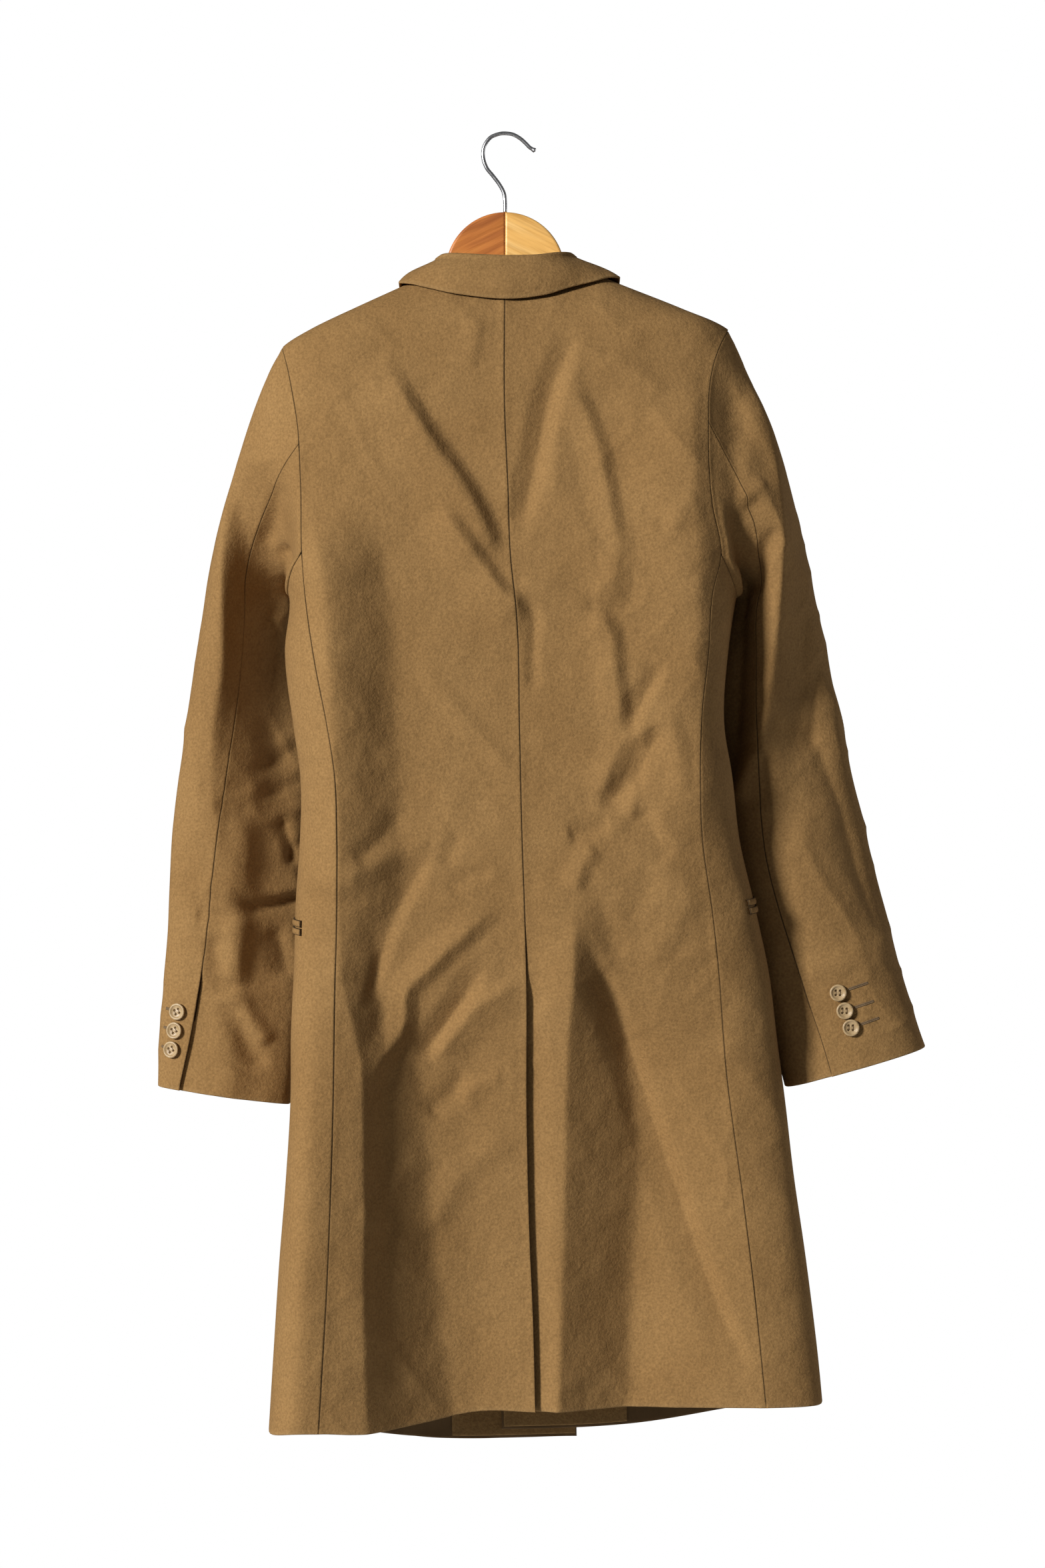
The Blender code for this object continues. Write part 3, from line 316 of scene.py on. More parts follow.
# Creases: the line of each, how far it stands out, its reach to the left and right of a line drawn
# downwards, and the rounding of its top
Crease = namedtuple("Crease", "path height left right soft")
BACK_CREASES = (
    Crease(((-113, -197), (-91, -236), (-72, -266), (-55, -290), (-39, -312), (-26, -335),
            (-14, -359), (-3, -379)), 7, 45, 11, 1.5),
    Crease(((-79, -238), (-61, -266), (-45, -290), (-29, -312), (-16, -335), (-4, -359),
            (6, -376)), -3, 11, 26, 2),
    Crease(((-59, -333), (-40, -359), (-19, -388), (-1, -411), (25, -429)), 6, 28, 9, 1.5),
    Crease(((-25, -167), (-26, -190), (-35, -219)), 1.6, 12, 8, 2),
    Crease(((-184, -556), (-168, -562), (-152, -559)), -2, 6, 7, 1),
    Crease(((-184, -598), (-166, -605), (-148, -603)), -2.2, 6, 7, 1),
    Crease(((-182, -632), (-162, -645), (-146, -650)), -2.2, 7, 7, 1),
    Crease(((-182, -668), (-164, -676), (-148, -675)), -1.8, 6, 7, 1),
    Crease(((-172, -320), (-160, -400), (-154, -470), (-149, -550), (-146, -640),
            (-147, -730)), 30, 60, 50, 6),
    Crease(((10, -414), (25, -429), (25, -451), (25, -475), (26, -501)), -2.2, 7, 7, 1.2),
    Crease(((10, -398), (42, -408), (77, -420)), 2.2, 14, 10, 2),
    Crease(((64, -173), (51, -208), (39, -243), (32, -272), (25, -306), (17, -338),
            (12, -359)), -5, 15, 10, 2),
    Crease(((57, -202), (51, -243), (46, -289), (41, -335)), 2.5, 10, 16, 4),
    Crease(((54, -225), (68, -251), (80, -283), (87, -312), (92, -341), (95, -364)), 4.8, 18, 10, 2),
    Crease(((93, -341), (98, -370), (95, -399), (90, -425)), 4, 14, 14, 3),
    Crease(((86, -202), (112, -217), (141, -237)), 1.6, 10, 8, 2),
    Crease(((100, -188), (135, -178), (199, -166)), 1.6, 10, 8, 2),
    Crease(((117, -338), (132, -344), (141, -362)), -1.4, 9, 8, 2),
    Crease(((167, -324), (152, -338), (146, -359)), 1.5, 9, 8, 2),
    Crease(((158, -347), (165, -376), (162, -405)), -1.4, 12, 12, 4),
    Crease(((75, -424), (86, -437), (93, -449), (95, -466), (97, -489), (100, -512),
            (105, -536)), 4.8, 18, 10, 1.5),
    Crease(((140, -468), (126, -492), (115, -515), (106, -535)), -4.2, 15, 7, 1.5),
    Crease(((134, -524), (117, -531), (104, -538), (95, -556), (87, -573), (80, -594)), 4.2, 16, 14, 1.2),
    Crease(((135, -526), (124, -549), (113, -572), (97, -586), (81, -598)), -3.8, 14, 11, 1.5),
    Crease(((111, -570), (112, -588), (108, -607)), 2, 9, 6, 1.5),
    Crease(((115, -595), (126, -611), (135, -627), (145, -646)), -3.2, 18, 9, 1.5),
    Crease(((55, -624), (71, -618), (94, -614)), -3.5, 8, 12, 2),
    Crease(((82, -632), (70, -643), (64, -656), (61, -672)), 3.4, 12, 9, 2),
    Crease(((77, -666), (87, -692), (97, -715), (105, -730)), -1.4, 12, 12, 2),
    Crease(((136, -653), (120, -675), (106, -701)), -1.8, 16, 12, 2),
    Crease(((167, -669), (148, -701), (134, -721), (117, -739)), 2.4, 15, 14, 2),
    Crease(((-87, -601), (-103, -618), (-117, -634), (-131, -646)), -3.4, 12, 12, 2),
    Crease(((-61, -629), (-88, -637), (-115, -647), (-142, -665)), 3, 12, 14, 2),
    Crease(((-62, -627), (-73, -649), (-84, -669), (-96, -692), (-104, -712), (-110, -733),
            (-116, -753), (-123, -773)), -4.4, 26, 9, 1),
    Crease(((-117, -715), (-120, -736), (-123, -753), (-130, -773)), 2.4, 12, 8, 2.5),
    Crease(((-38, -618), (-45, -632), (-54, -649)), -2, 10, 8, 2),
    Crease(((-9, -652), (-33, -657), (-50, -672)), -1.8, 8, 8, 2),
    Crease(((-3, -671), (-17, -690), (-36, -708), (-52, -723), (-68, -739), (-83, -753), (-87, -766),
            (-87, -781), (-92, -795), (-104, -812), (-113, -830), (-119, -852)), 7, 17, 11, 1.2),
    Crease(((-15, -733), (-30, -753), (-38, -768), (-50, -785), (-62, -802), (-75, -820)), -6, 16, 9, 1.2),
    Crease(((18, -751), (-5, -760), (-25, -772), (-36, -785), (-50, -802), (-65, -821)), 5, 9, 22, 1.2),
    Crease(((-33, -823), (-45, -846), (-57, -857), (-68, -869)), -3.4, 13, 12, 2),
    Crease(((1, -833), (-25, -841), (-39, -855)), 2.6, 8, 12, 2),
    Crease(((-81, -460), (-45, -509), (-13, -544), (19, -582)), 1.6, 12, 10, 2),
    Crease(((-115, -550), (-68, -567), (-33, -599)), 1.6, 14, 14, 3),
    Crease(((141, -509), (149, -544), (155, -591)), 2.4, 12, 10, 2),
    Crease(((-68, -892), (-100, -933), (-115, -968)), 2.5, 14, 14, 3),
    Crease(((7, -881), (-39, -921), (-68, -973)), 2.5, 16, 14, 3),
    Crease(((216, -753), (204, -788), (199, -823)), 2, 12, 12, 3),
    Crease(((160, -205), (163, -270), (166, -340), (170, -410), (172, -490), (171, -570),
            (176, -660)), 18, 62, 46, 6),
    Crease(((62, -700), (84, -742), (103, -788), (121, -840), (135, -885), (155, -943), (173, -997),
            (196, -1055), (222, -1110)), -8, 24, 9, 0.8),
)
FRONT_CREASES = (
    Crease(((-150, -210), (-120, -290), (-80, -360)), 5, 26, 14, 5),
    Crease(((150, -205), (125, -280), (96, -345)), 4.5, 16, 24, 5),
    Crease(((-140, -470), (-90, -500), (-40, -512)), 4, 16, 16, 4),
    Crease(((-135, -540), (-100, -560), (-60, -566)), -3.5, 14, 16, 4),
    Crease(((150, -500), (112, -520), (74, -524)), 3.5, 16, 14, 4),
    Crease(((-60, -690), (-86, -820), (-98, -1000), (-104, -1150)), 8, 40, 34, 14),
    Crease(((96, -700), (120, -830), (138, -1000), (150, -1140)), 8, 38, 42, 14),
    Crease(((20, -760), (10, -900), (6, -1100)), -4, 34, 34, 14),
    Crease(((-20, -640), (-62, -668), (-96, -706)), 3, 14, 12, 4),
    Crease(((40, -600), (92, -634), (132, -690)), 3.2, 12, 16, 4),
)
SLEEVE_CREASES = {
    LEFT: (
        Crease(((-215, -213), (-211, -251), (-213, -287)), -3, 14, 14, 5),
        Crease(((-186, -317), (-199, -324), (-207, -344), (-215, -368)), -5, 9, 10, 2),
        Crease(((-199, -362), (-192, -381), (-186, -404)), -9, 8, 5, 1.5),
        Crease(((-190, -406), (-198, -421), (-210, -433)), 3.5, 8, 9, 2),
        Crease(((-276, -577), (-255, -581), (-224, -581)), -2.6, 7, 8, 1.2),
        Crease(((-262, -594), (-243, -599), (-226, -601)), -3, 6, 6, 1),
        Crease(((-234, -571), (-210, -556), (-178, -542)), -2.6, 7, 8, 1.2),
        Crease(((-232, -592), (-204, -582), (-176, -570)), -2.4, 7, 8, 1.2),
        Crease(((-230, -618), (-202, -604), (-176, -592)), 2.2, 7, 9, 1.2),
        Crease(((-205, -604), (-194, -628), (-188, -652)), -3.4, 9, 6, 1.2),
        Crease(((-198, -650), (-186, -634), (-174, -622)), -2.4, 8, 6, 1.2),
        Crease(((-238, -687), (-213, -683), (-180, -677)), -7, 10, 4, 1),
        Crease(((-236, -683), (-207, -678), (-180, -671)), 5, 6, 24, 2),
        Crease(((-275, -667), (-255, -671), (-242, -678)), 3, 6, 9, 1.5),
        Crease(((-279, -693), (-261, -696), (-236, -695)), -3, 7, 7, 1.5),
        Crease(((-238, -600), (-235, -633), (-235, -662), (-234, -682)), 5, 14, 12, 1.2),
        Crease(((-235, -686), (-238, -716), (-243, -740), (-246, -758)), 5, 14, 12, 1.2),
        Crease(((-246, -767), (-242, -788), (-230, -814), (-215, -835)), -5, 12, 9, 2),
        Crease(((-242, -761), (-228, -788), (-210, -811)), 4.5, 10, 9, 2),
        Crease(((-262, -710), (-255, -740), (-248, -770)), -5, 12, 10, 2.5),
        Crease(((-242, -829), (-248, -844), (-254, -859)), 4, 10, 18, 2),
        Crease(((-210, -704), (-200, -728), (-193, -752)), -4.5, 16, 9, 2),
    ),
    RIGHT: (
        Crease(((289, -433), (282, -478), (279, -509), (280, -536), (287, -561), (297, -585),
                (313, -643), (332, -696), (350, -722)), -8, 42, 15, 2),
        Crease(((227, -529), (245, -533), (263, -536), (285, -535)), -4.5, 14, 18, 2),
        Crease(((221, -229), (195, -248), (179, -262)), -2.4, 10, 10, 2),
        Crease(((216, -266), (198, -279), (182, -293)), -2.2, 10, 10, 2),
        Crease(((187, -317), (193, -353), (200, -388), (204, -424), (205, -472), (202, -531),
                (201, -585)), -10, 12, 14, 4),
        Crease(((226, -330), (211, -337), (198, -350)), -2.4, 8, 9, 1.5),
        Crease(((227, -311), (214, -322), (201, -330)), 2, 8, 9, 1.5),
        Crease(((242, -350), (227, -381), (218, -412)), -5, 10, 8, 2),
        Crease(((220, -543), (213, -567), (206, -594)), 3.5, 8, 8, 2),
        Crease(((233, -543), (227, -573), (223, -600)), -3, 10, 9, 2),
        Crease(((323, -722), (293, -737), (263, -740)), 1.8, 12, 12, 3),
    ),
}
SLEEVE_FRONT_CREASES = {
    LEFT: (
        Crease(((-262, -420), (-236, -470), (-196, -490)), 5, 16, 16, 4),
        Crease(((-280, -520), (-240, -545), (-204, -548)), 5, 16, 14, 4),
        Crease(((-286, -590), (-248, -604), (-206, -600)), -4, 14, 14, 4),
        Crease(((-250, -640), (-244, -720), (-252, -800)), 4, 18, 20, 6),
    ),
    RIGHT: (
        Crease(((268, -430), (240, -476), (206, -492)), 5, 16, 16, 4),
        Crease(((300, -525), (262, -548), (220, -550)), 5, 14, 16, 4),
        Crease(((316, -596), (276, -612), (232, -604)), -4, 14, 14, 4),
        Crease(((296, -650), (306, -710), (316, -770)), 4, 20, 18, 6),
    ),
}

# Collar stations from the left end round the back to the right end: outer edge, roll line, neck seam
Station = namedtuple("Station", "edge_x edge_z face roll_x roll_y roll_z neck_x neck_z")
COLLAR = (
    Station(-82, -166, FRONT, -50, 30, -126, -52, -138),
    Station(-91, -156, FRONT, -57, 17, -117, -57.5, -128),
    Station(-98, -142, FRONT, -60, -2, -112, -59, -122.5),
    Station(-83, -142, BACK, -57, -24, -111, -56, -126),
    Station(-67, -146, BACK, -50, -39, -111, -49, -129),
    Station(-40, -152, BACK, -32, -49, -113, -32, -136),
    Station(0, -156, BACK, 0, -53, -115, 0, -140),
    Station(33, -153, BACK, 27, -51, -114, 27, -137),
    Station(56, -146, BACK, 44, -43, -111, 44, -130),
    Station(78, -140, BACK, 55, -28, -109, 54, -124),
    Station(92, -136, BACK, 59, -14, -109, 58, -121),
    Station(105, -138, FRONT, 61, 2, -110, 59.5, -119),
    Station(96, -152, FRONT, 58, 18, -115, 58, -124),
    Station(85, -163, FRONT, 51, 30, -124, 53, -134),
)

# Hook wire from its end in the wood to its tip, in the hanger's plane
HOOK_PATH = (
    (0, -68.6), (0, -61), (-1, -52), (-5, -44), (-11, -36), (-16.5, -29), (-19.5, -20), (-18.8, -10.5),
    (-13.5, -2.4), (-6, 1.0), (0, 1.7), (7, 0.6), (13.5, -3), (18.5, -7.5), (22, -11), (27, -14),
)

# Camera and lights, in metres and watts
CAMERA_PLACE = (0.0154, -3.291, -0.5767)
CAMERA_LENS = 85.0
KEY_PLACE = (-5.0, -4.7, 1.3)
KEY_SIZE = 1.2
KEY_POWER = 670.0
SIDE_PLACE = (3.0, 0.7, -0.3)
SIDE_SIZE = 1.6
SIDE_POWER = 18.0
FILL_LIGHT = 0.1
FLOOR_HEIGHT = -2.0
DOME_RADIUS = 18.0


# Curves through the tables

def unit(vectors):
    return vectors / np.linalg.norm(vectors, axis=-1, keepdims=True)


def smooth(knots, values, at):
    """A smooth curve through the points, level past its ends."""
    order = np.argsort(knots)
    knots = np.asarray(knots, float)[order]
    values = np.asarray(values, float)[order]
    step = np.diff(knots)
    slope = np.diff(values) / step
    inner = (slope[:-1] * step[1:] + slope[1:] * step[:-1]) / (step[1:] + step[:-1])
    tangent = np.concatenate([slope[:1], inner, slope[-1:]])
    at = np.clip(at, knots[0], knots[-1])
    i = np.clip(np.searchsorted(knots, at) - 1, 0, len(step) - 1)
    t = (at - knots[i]) / step[i]
    rise = values[i] * (1 + 2 * t) * (1 - t) ** 2 + values[i + 1] * t * t * (3 - 2 * t)
    return rise + step[i] * (tangent[i] * t * (1 - t) ** 2 - tangent[i + 1] * t * t * (1 - t))


def column(table, name):
    return [getattr(row, name) for row in table]


def across_at(marks, height):
    return smooth(column(marks, "height"), column(marks, "across"), height)


def height_at(marks, across):
    return smooth(column(marks, "across"), column(marks, "height"), across)


def ramp(value, start, end):
    """0 before start, 1 after end, with a smooth rise between."""
    t = np.clip((value - start) / (end - start), 0, 1)
    return t * t * (3 - 2 * t)


def wander(first, second, size, seed):
    """Uneven soft waves of about this size, between -1 and 1."""
    cells = 64
    lattice = np.random.default_rng(seed).uniform(-1, 1, (cells, cells))
    u, v = first / size + cells / 2, second / size + cells / 2
    i, j = np.floor(u).astype(int), np.floor(v).astype(int)
    u, v = u - i, v - j
    u, v = u * u * (3 - 2 * u), v * v * (3 - 2 * v)
    low = lattice[i % cells, j % cells] * (1 - u) + lattice[(i + 1) % cells, j % cells] * u
    high = lattice[i % cells, (j + 1) % cells] * (1 - u) + lattice[(i + 1) % cells, (j + 1) % cells] * u
    return low * (1 - v) + high * v


def edged(count, length):
    """From 0 to 1 in even steps, with close steps at both ends for the rolled edges."""
    ends = np.array(EDGE_STEPS) / length
    middle = np.linspace(ends[-1], 1 - ends[-1], count)
    return np.concatenate([ends[:-1], middle, 1 - ends[-2::-1]])


def travel_along(line):
    """How far along a line each of its points lies."""
    return np.concatenate([[0], np.cumsum(np.linalg.norm(np.diff(line, axis=0), axis=1))])


def read_along(line, travel, at):
    return np.stack([np.interp(at, travel, line[:, i]) for i in range(3)], axis=-1)


def finer(rows, share):
    """The row heights of a coarse list, read at any share of the way through it."""
    return np.interp(share * (len(rows) - 1), np.arange(len(rows)), rows)


# Creases and folds

def crease_line(path):
    points = np.asarray(path, float)
    if len(points) == 2:
        return points
    place = np.arange(len(points))
    at = np.linspace(0, len(points) - 1, 6 * (len(points) - 1) + 1)
    return np.stack([smooth(place, points[:, 0], at), smooth(place, points[:, 1], at)], axis=-1)


def one_crease(crease, across, height):
    """Height of one crease at points of the view from behind."""
    line = crease_line(crease.path)
    nearest = np.full(across.shape, np.inf)
    on_left = np.zeros(across.shape, bool)
    place = np.zeros(across.shape)
    for number, (start, end) in enumerate(zip(line[:-1], line[1:])):
        run = end - start
        dx, dz = across - start[0], height - start[1]
        along = np.clip((dx * run[0] + dz * run[1]) / (run @ run), 0, 1)
        gap = np.hypot(dx - along * run[0], dz - along * run[1])
        closer = gap < nearest
        nearest = np.where(closer, gap, nearest)
        on_left = np.where(closer, dx * run[1] - dz * run[0] > 0, on_left)
        place = np.where(closer, (number + along) / (len(line) - 1), place)
    reach = np.where(on_left, crease.left, crease.right)
    left_over = 1 - (np.sqrt(nearest**2 + crease.soft**2) - crease.soft) / reach
    slope = (left_over + np.sqrt(left_over**2 + FOOT_ROUNDING**2)) / 2
    taper = ramp(place, 0, 0.2) * (1 - ramp(place, 0.82, 1))
    return CREASE_STRENGTH * crease.height * taper * slope


def crease_heights(creases, across, height):
    """Sum of the creases, each worked out only near its own line."""
    across, height = np.broadcast_arrays(across, height)
    total = np.zeros(across.shape)
    for crease in creases:
        margin = 4 * max(crease.left, crease.right)
        low = np.min(crease.path, axis=0) - margin
        high = np.max(crease.path, axis=0) + margin
        near = (across > low[0]) & (across < high[0]) & (height > low[1]) & (height < high[1])
        total[near] += one_crease(crease, across[near], height[near])
    return total


def pleat_heights(levels, pleats, across, height):
    """Hanging folds: straight slopes from line to line, rounded at each line."""
    lines = [smooth(levels, pleat.across, height) for pleat in pleats]
    rises = [smooth(levels, pleat.rise, height) for pleat in pleats]
    total = rises[0]
    before = 0
    for number, pleat in enumerate(pleats):
        after = 0
        if number + 1 < len(pleats):
            after = (rises[number + 1] - rises[number]) / (lines[number + 1] - lines[number])
        offset = across - lines[number]
        total = total + (after - before) * (offset + np.sqrt(offset**2 + pleat.soft**2)) / 2
        before = after
    return total


def rumple(first, second, size, seed):
    """Short sharp creases of about this size that run every way, between 0 and 1."""
    bent = first + 0.35 * size * wander(first, second, size, seed + 5)
    return (1 - abs(wander(bent, second, size, seed))) ** 3


def unevenness(first, second, seed):
    """Soft waves and small rumples that no hung cloth is without."""
    slanted, along = first * 0.8 + second * 0.6, second * 0.8 - first * 0.6
    waves = 1.6 * wander(first, second, 105, seed) + 0.6 * wander(first, second, 41, seed + 1)
    large = 2.2 * rumple(slanted, along * 0.6, 62, seed + 2)
    small = 1.0 * rumple(slanted * 0.7, along, 30, seed + 3)
    return waves + (large + small) * ramp(wander(first, second, 130, seed + 4), -0.5, 0.5)


# The body's surface

def section_at(height):
    heights = column(SECTIONS, "height")
    return [smooth(heights, column(SECTIONS, side), height) for side in ("left", "right", "back", "front")]


def depth_at(across, height, face):
    """How far back or forward the body's cloth lies at a point of the view from behind."""
    left, right, back, front = section_at(height)
    share = np.clip(abs(across - (left + right) / 2) / ((right - left) / 2), 0, 1)
    share = np.where(share > 1 - EDGE_SNAP, 1, share)
    reach = back if face == BACK else front
    return reach * (1 - share**SECTION_POWER) ** (1 / SECTION_POWER)


def outside(points):
    """Grows from the body's inside to its outside, and is level on its surface."""
    left, right, back, front = section_at(points[..., 2])
    share_x = (points[..., 0] - (left + right) / 2) / ((right - left) / 2)
    share_y = points[..., 1] / np.where(points[..., 1] < 0, -back, front)
    return abs(share_x) ** SECTION_POWER + abs(share_y) ** SECTION_POWER


def body_normals(points):
    """Directions out of the body's cloth."""
    reach = 0.5
    steps = np.eye(3) * reach
    slopes = np.stack([outside(points + step) - outside(points - step) for step in steps], axis=-1)
    return unit(slopes)


def side_across(side, height, seam):
    """A panel's outer edge: along the shoulder, then the armhole and the side seam."""
    left, right = section_at(height)[:2]
    edge = left if side == LEFT else right
    below = across_at(seam[side], height) - side * SEAM_GAP / 2
    return np.where(height >= SHOULDER_TIP[side].height, edge, below)


def on_body(across, height, face):
    """Points of the body's surface, kept half a seam gap from the line that parts front from back."""
    depth = depth_at(across, height, face)
    depth = face * np.maximum(face * depth, SEAM_GAP / 2)
    return np.stack([across, depth, np.broadcast_to(height, across.shape)], axis=-1)


def back_drop(across, height):
    """How far the right back lies in under the left one at the vent."""
    edge = across_at(CENTRE_BACK, height)
    opened = ramp(-height, -VENT_TOP - 6, -VENT_TOP + 24)
    return VENT_DROP * opened * (1 - ramp(across, edge + 4, edge + 24))


def front_drop(across, height):
    """How far the right front lies in under the left one."""
    edge = across_at(FRONT_EDGE[LEFT], height)
    return FRONT_DROP * (1 - ramp(across, edge + 8, edge + 95))


def rows_of(low, junction, tip, high):
    """Row heights from the hem to the neck that pass through the armhole's foot and the shoulder tip."""
    below, beside, above = 23, 6, 5
    return np.concatenate([
        np.linspace(low, junction, below + 1)[:-1],
        np.linspace(junction, tip, beside + 1)[:-1],
        np.linspace(tip, high, above + 1),
    ])


def shares_of(rows):
    return (rows - rows[0]) / (rows[-1] - rows[0])


def crowded(share, crowd):
    """From 0 to 1, closer together towards 1 as crowd grows."""
    return (1 - crowd) * share + crowd * np.sin(share * pi / 2)


# Panels, each a grid of points on its outer face with the directions out of it

def back_lift(side, points, normals):
    """How far the back's cloth stands out to the back of its plain form."""
    across, height = points[..., 0], points[..., 2]
    back, front = section_at(height)[2:]
    share = np.clip((front - points[..., 1]) / (front - back), 0, 1)
    lift = crease_heights(BACK_CREASES, across, height)
    folds = pleat_heights(SKIRT_LEVELS, SKIRT_PLEATS[side], across, height)
    lift = lift + folds * ramp(-height, *SKIRT_FADE)
    return lift * share + unevenness(across, height, BACK_SEED) * ramp(-normals[..., 1], 0, 0.3)


def underlap_columns(seam, rows, room):
    """The right back's first columns: at the seam above the vent, and spread under the left back in it."""
    opened = ramp(-rows, -VENT_TOP + 2, -VENT_TOP + 60)[:, None]
    scale = np.minimum(1, 0.85 * room / UNDERLAP[-1].closed)[:, None]
    closed = np.array(column(UNDERLAP, "closed")) * scale
    return seam[:, None] + closed * (1 - opened) + np.array(column(UNDERLAP, "opened")) * opened


def back_rows(side):
    """Row heights along the back panel's outer edge."""
    low = height_at(HEM_BACK, BACK_SEAM[side][-1].across)
    return rows_of(low, BACK_JUNCTION[side], SHOULDER_TIP[side].height, NECK_POINT[side].height)


def back_panel(side):
    up_rows = edged(BACK_GRID.rows, BACK_GRID.length)
    rows = finer(back_rows(side), up_rows)
    at_seam = shares_of(rows)
    coarse = (shares_of(back_rows(LEFT)) + shares_of(back_rows(RIGHT))) / 2
    at_centre = finer(coarse, up_rows)
    share = crowded(edged(BACK_GRID.columns, BACK_GRID.width), CROWDING)
    low = height_at(HEM_BACK, CENTRE_BACK[-1].across)
    middle = low + (CENTRE_BACK[0].height - low) * at_centre
    outer = side_across(side, rows, BACK_SEAM)
    inner = across_at(CENTRE_BACK, middle) + side * SEAM_GAP / 2
    across = inner[:, None] + (outer - inner)[:, None] * share
    if side == RIGHT:
        skipped = int(np.searchsorted(share, 0.05))
        lap = underlap_columns(inner, middle, (outer - inner) * share[skipped])
        across = np.concatenate([lap, across[:, skipped:]], axis=1)
        share = np.concatenate([np.zeros(len(UNDERLAP)), share[skipped:]])
    up = at_centre[:, None] * (1 - share) + at_seam[:, None] * share
    neck = CENTRE_BACK[0].height + (rows[-1] - CENTRE_BACK[0].height) * share**2.2
    hem = height_at(HEM_BACK, across[0])
    height = hem + (neck - hem) * up
    points = on_body(across, height, BACK)
    normals = body_normals(points)
    lift = back_lift(side, points, normals)
    if side == RIGHT:
        lift = lift - back_drop(across, height)
    return points + TO_BACK * lift[..., None], normals


def around(side, turn, height):
    """A point of the body by its turn from the side edge, minus towards the back."""
    left, right, back, front = section_at(height)
    half = (right - left) / 2
    reach = np.where(turn < 0, -back, front)
    power = 2 / SECTION_POWER
    x = (left + right) / 2 + side * half * abs(np.cos(turn)) ** power
    y = np.sign(turn) * reach * abs(np.sin(turn)) ** power
    return np.stack([x, y, np.broadcast_to(height, x.shape)], axis=-1)


def turn_of(across, height, face):
    left, right = section_at(height)[:2]
    share = np.clip(abs(across - (left + right) / 2) / ((right - left) / 2), 0, 1)
    return face * np.arccos(share ** (SECTION_POWER / 2))


def side_top(side, share):
    """Height of the armhole's lower edge along the side panel."""
    level = BACK_JUNCTION[side] * (1 - share) + FRONT_JUNCTION[side] * share
    middle = (BACK_JUNCTION[side] + FRONT_JUNCTION[side]) / 2
    return level + (UNDERARM[side] - middle) * np.sin(pi * share) ** 0.9


def side_turn(side, share, height):
    start = turn_of(across_at(BACK_SEAM[side], height) + side * SEAM_GAP / 2, height, BACK)
    end = turn_of(across_at(FRONT_SEAM[side], height) + side * SEAM_GAP / 2, height, FRONT)
    return start + (end - start) * share


def side_grid(side, share, up):
    """Points of the side panel, share from its back seam to its front seam and up from hem to armhole."""
    rough = np.full_like(share, height_at(HEM_BACK, BACK_SEAM[side][-1].across))
    turn = side_turn(side, share, rough)
    foot = around(side, turn, rough)[..., 0]
    hem = np.where(turn < 0, height_at(HEM_BACK, foot), height_at(HEM_FRONT[side], foot))
    height = hem + (side_top(side, share) - hem) * up
    return around(side, side_turn(side, share, height), height)


def side_shift(side, points, normals, fronted):
    """How the side's cloth is moved from its plain form, with the back's folds, then the front's."""
    waves = 0.7 * wander(points[..., 1], points[..., 2], 60, SIDE_SEED)
    lift = front_lift(side, points, normals) * fronted + waves
    hung = back_lift(side, points, normals) * (1 - ramp(fronted, 0.8, 1))
    return TO_BACK * hung[..., None] + normals * lift[..., None]


def side_panel(side):
    across = edged(SIDE_GRID.columns, SIDE_GRID.width)
    share, up = np.meshgrid(across, edged(SIDE_GRID.rows, SIDE_GRID.length))
    points = side_grid(side, share, up)
    normals = body_normals(points)
    return points + side_shift(side, points, normals, ramp(share, 0.3, 1)), normals


def front_lift(side, points, normals):
    """How far the front's cloth stands out from its plain form."""
    across, height = points[..., 0], points[..., 2]
    shown = ramp(normals[..., 1], 0.05, 0.6)
    lift = crease_heights(FRONT_CREASES, across, height) + unevenness(across, height, FRONT_SEED)
    if side == RIGHT:
        lift = lift - front_drop(across, height)
    return lift * shown


def front_panel(side):
    low = height_at(HEM_FRONT[side], FRONT_SEAM[side][-1].across)
    neck = NECK_POINT[side].height - FRONT_NECK_DROP
    coarse = rows_of(low, FRONT_JUNCTION[side], SHOULDER_TIP[side].height, neck)
    rows = finer(coarse, edged(FRONT_GRID.rows, FRONT_GRID.length))
    share = crowded(edged(FRONT_GRID.columns, FRONT_GRID.width), CROWDING)
    outer = side_across(side, rows, FRONT_SEAM)
    inner = across_at(FRONT_EDGE[side], rows)
    across = inner[:, None] + (outer - inner)[:, None] * share
    hem = height_at(HEM_FRONT[side], across[0])
    height = hem + (rows[-1] - hem) * shares_of(rows)[:, None]
    points = on_body(across, height, FRONT)
    normals = body_normals(points)
    return points + normals * front_lift(side, points, normals)[..., None], normals


def facing(side):
    """The turned-in strip behind a front edge, laid on the front panel's inner face."""
    low = height_at(HEM_FRONT[side], FRONT_EDGE[side][-1].across) + FACING_HEM_RISE
    heights = low + (BREAK_HEIGHT - 6 - low) * edged(FACING_GRID.rows, FACING_GRID.length)
    inner = across_at(FRONT_EDGE[side], heights) + side * EDGE_INSET
    across = inner[:, None] + side * FACING_WIDTH * edged(FACING_GRID.columns, FACING_GRID.width)
    hem = height_at(HEM_FRONT[side], across[0]) + FACING_HEM_RISE
    height = hem + (heights[-1] - hem) * shares_of(heights)[:, None]
    points = on_body(across, height, FRONT)
    normals = body_normals(points)
    lift = front_lift(side, points, normals)
    return points + normals * (lift - WALL - FACING_GAP)[..., None], normals


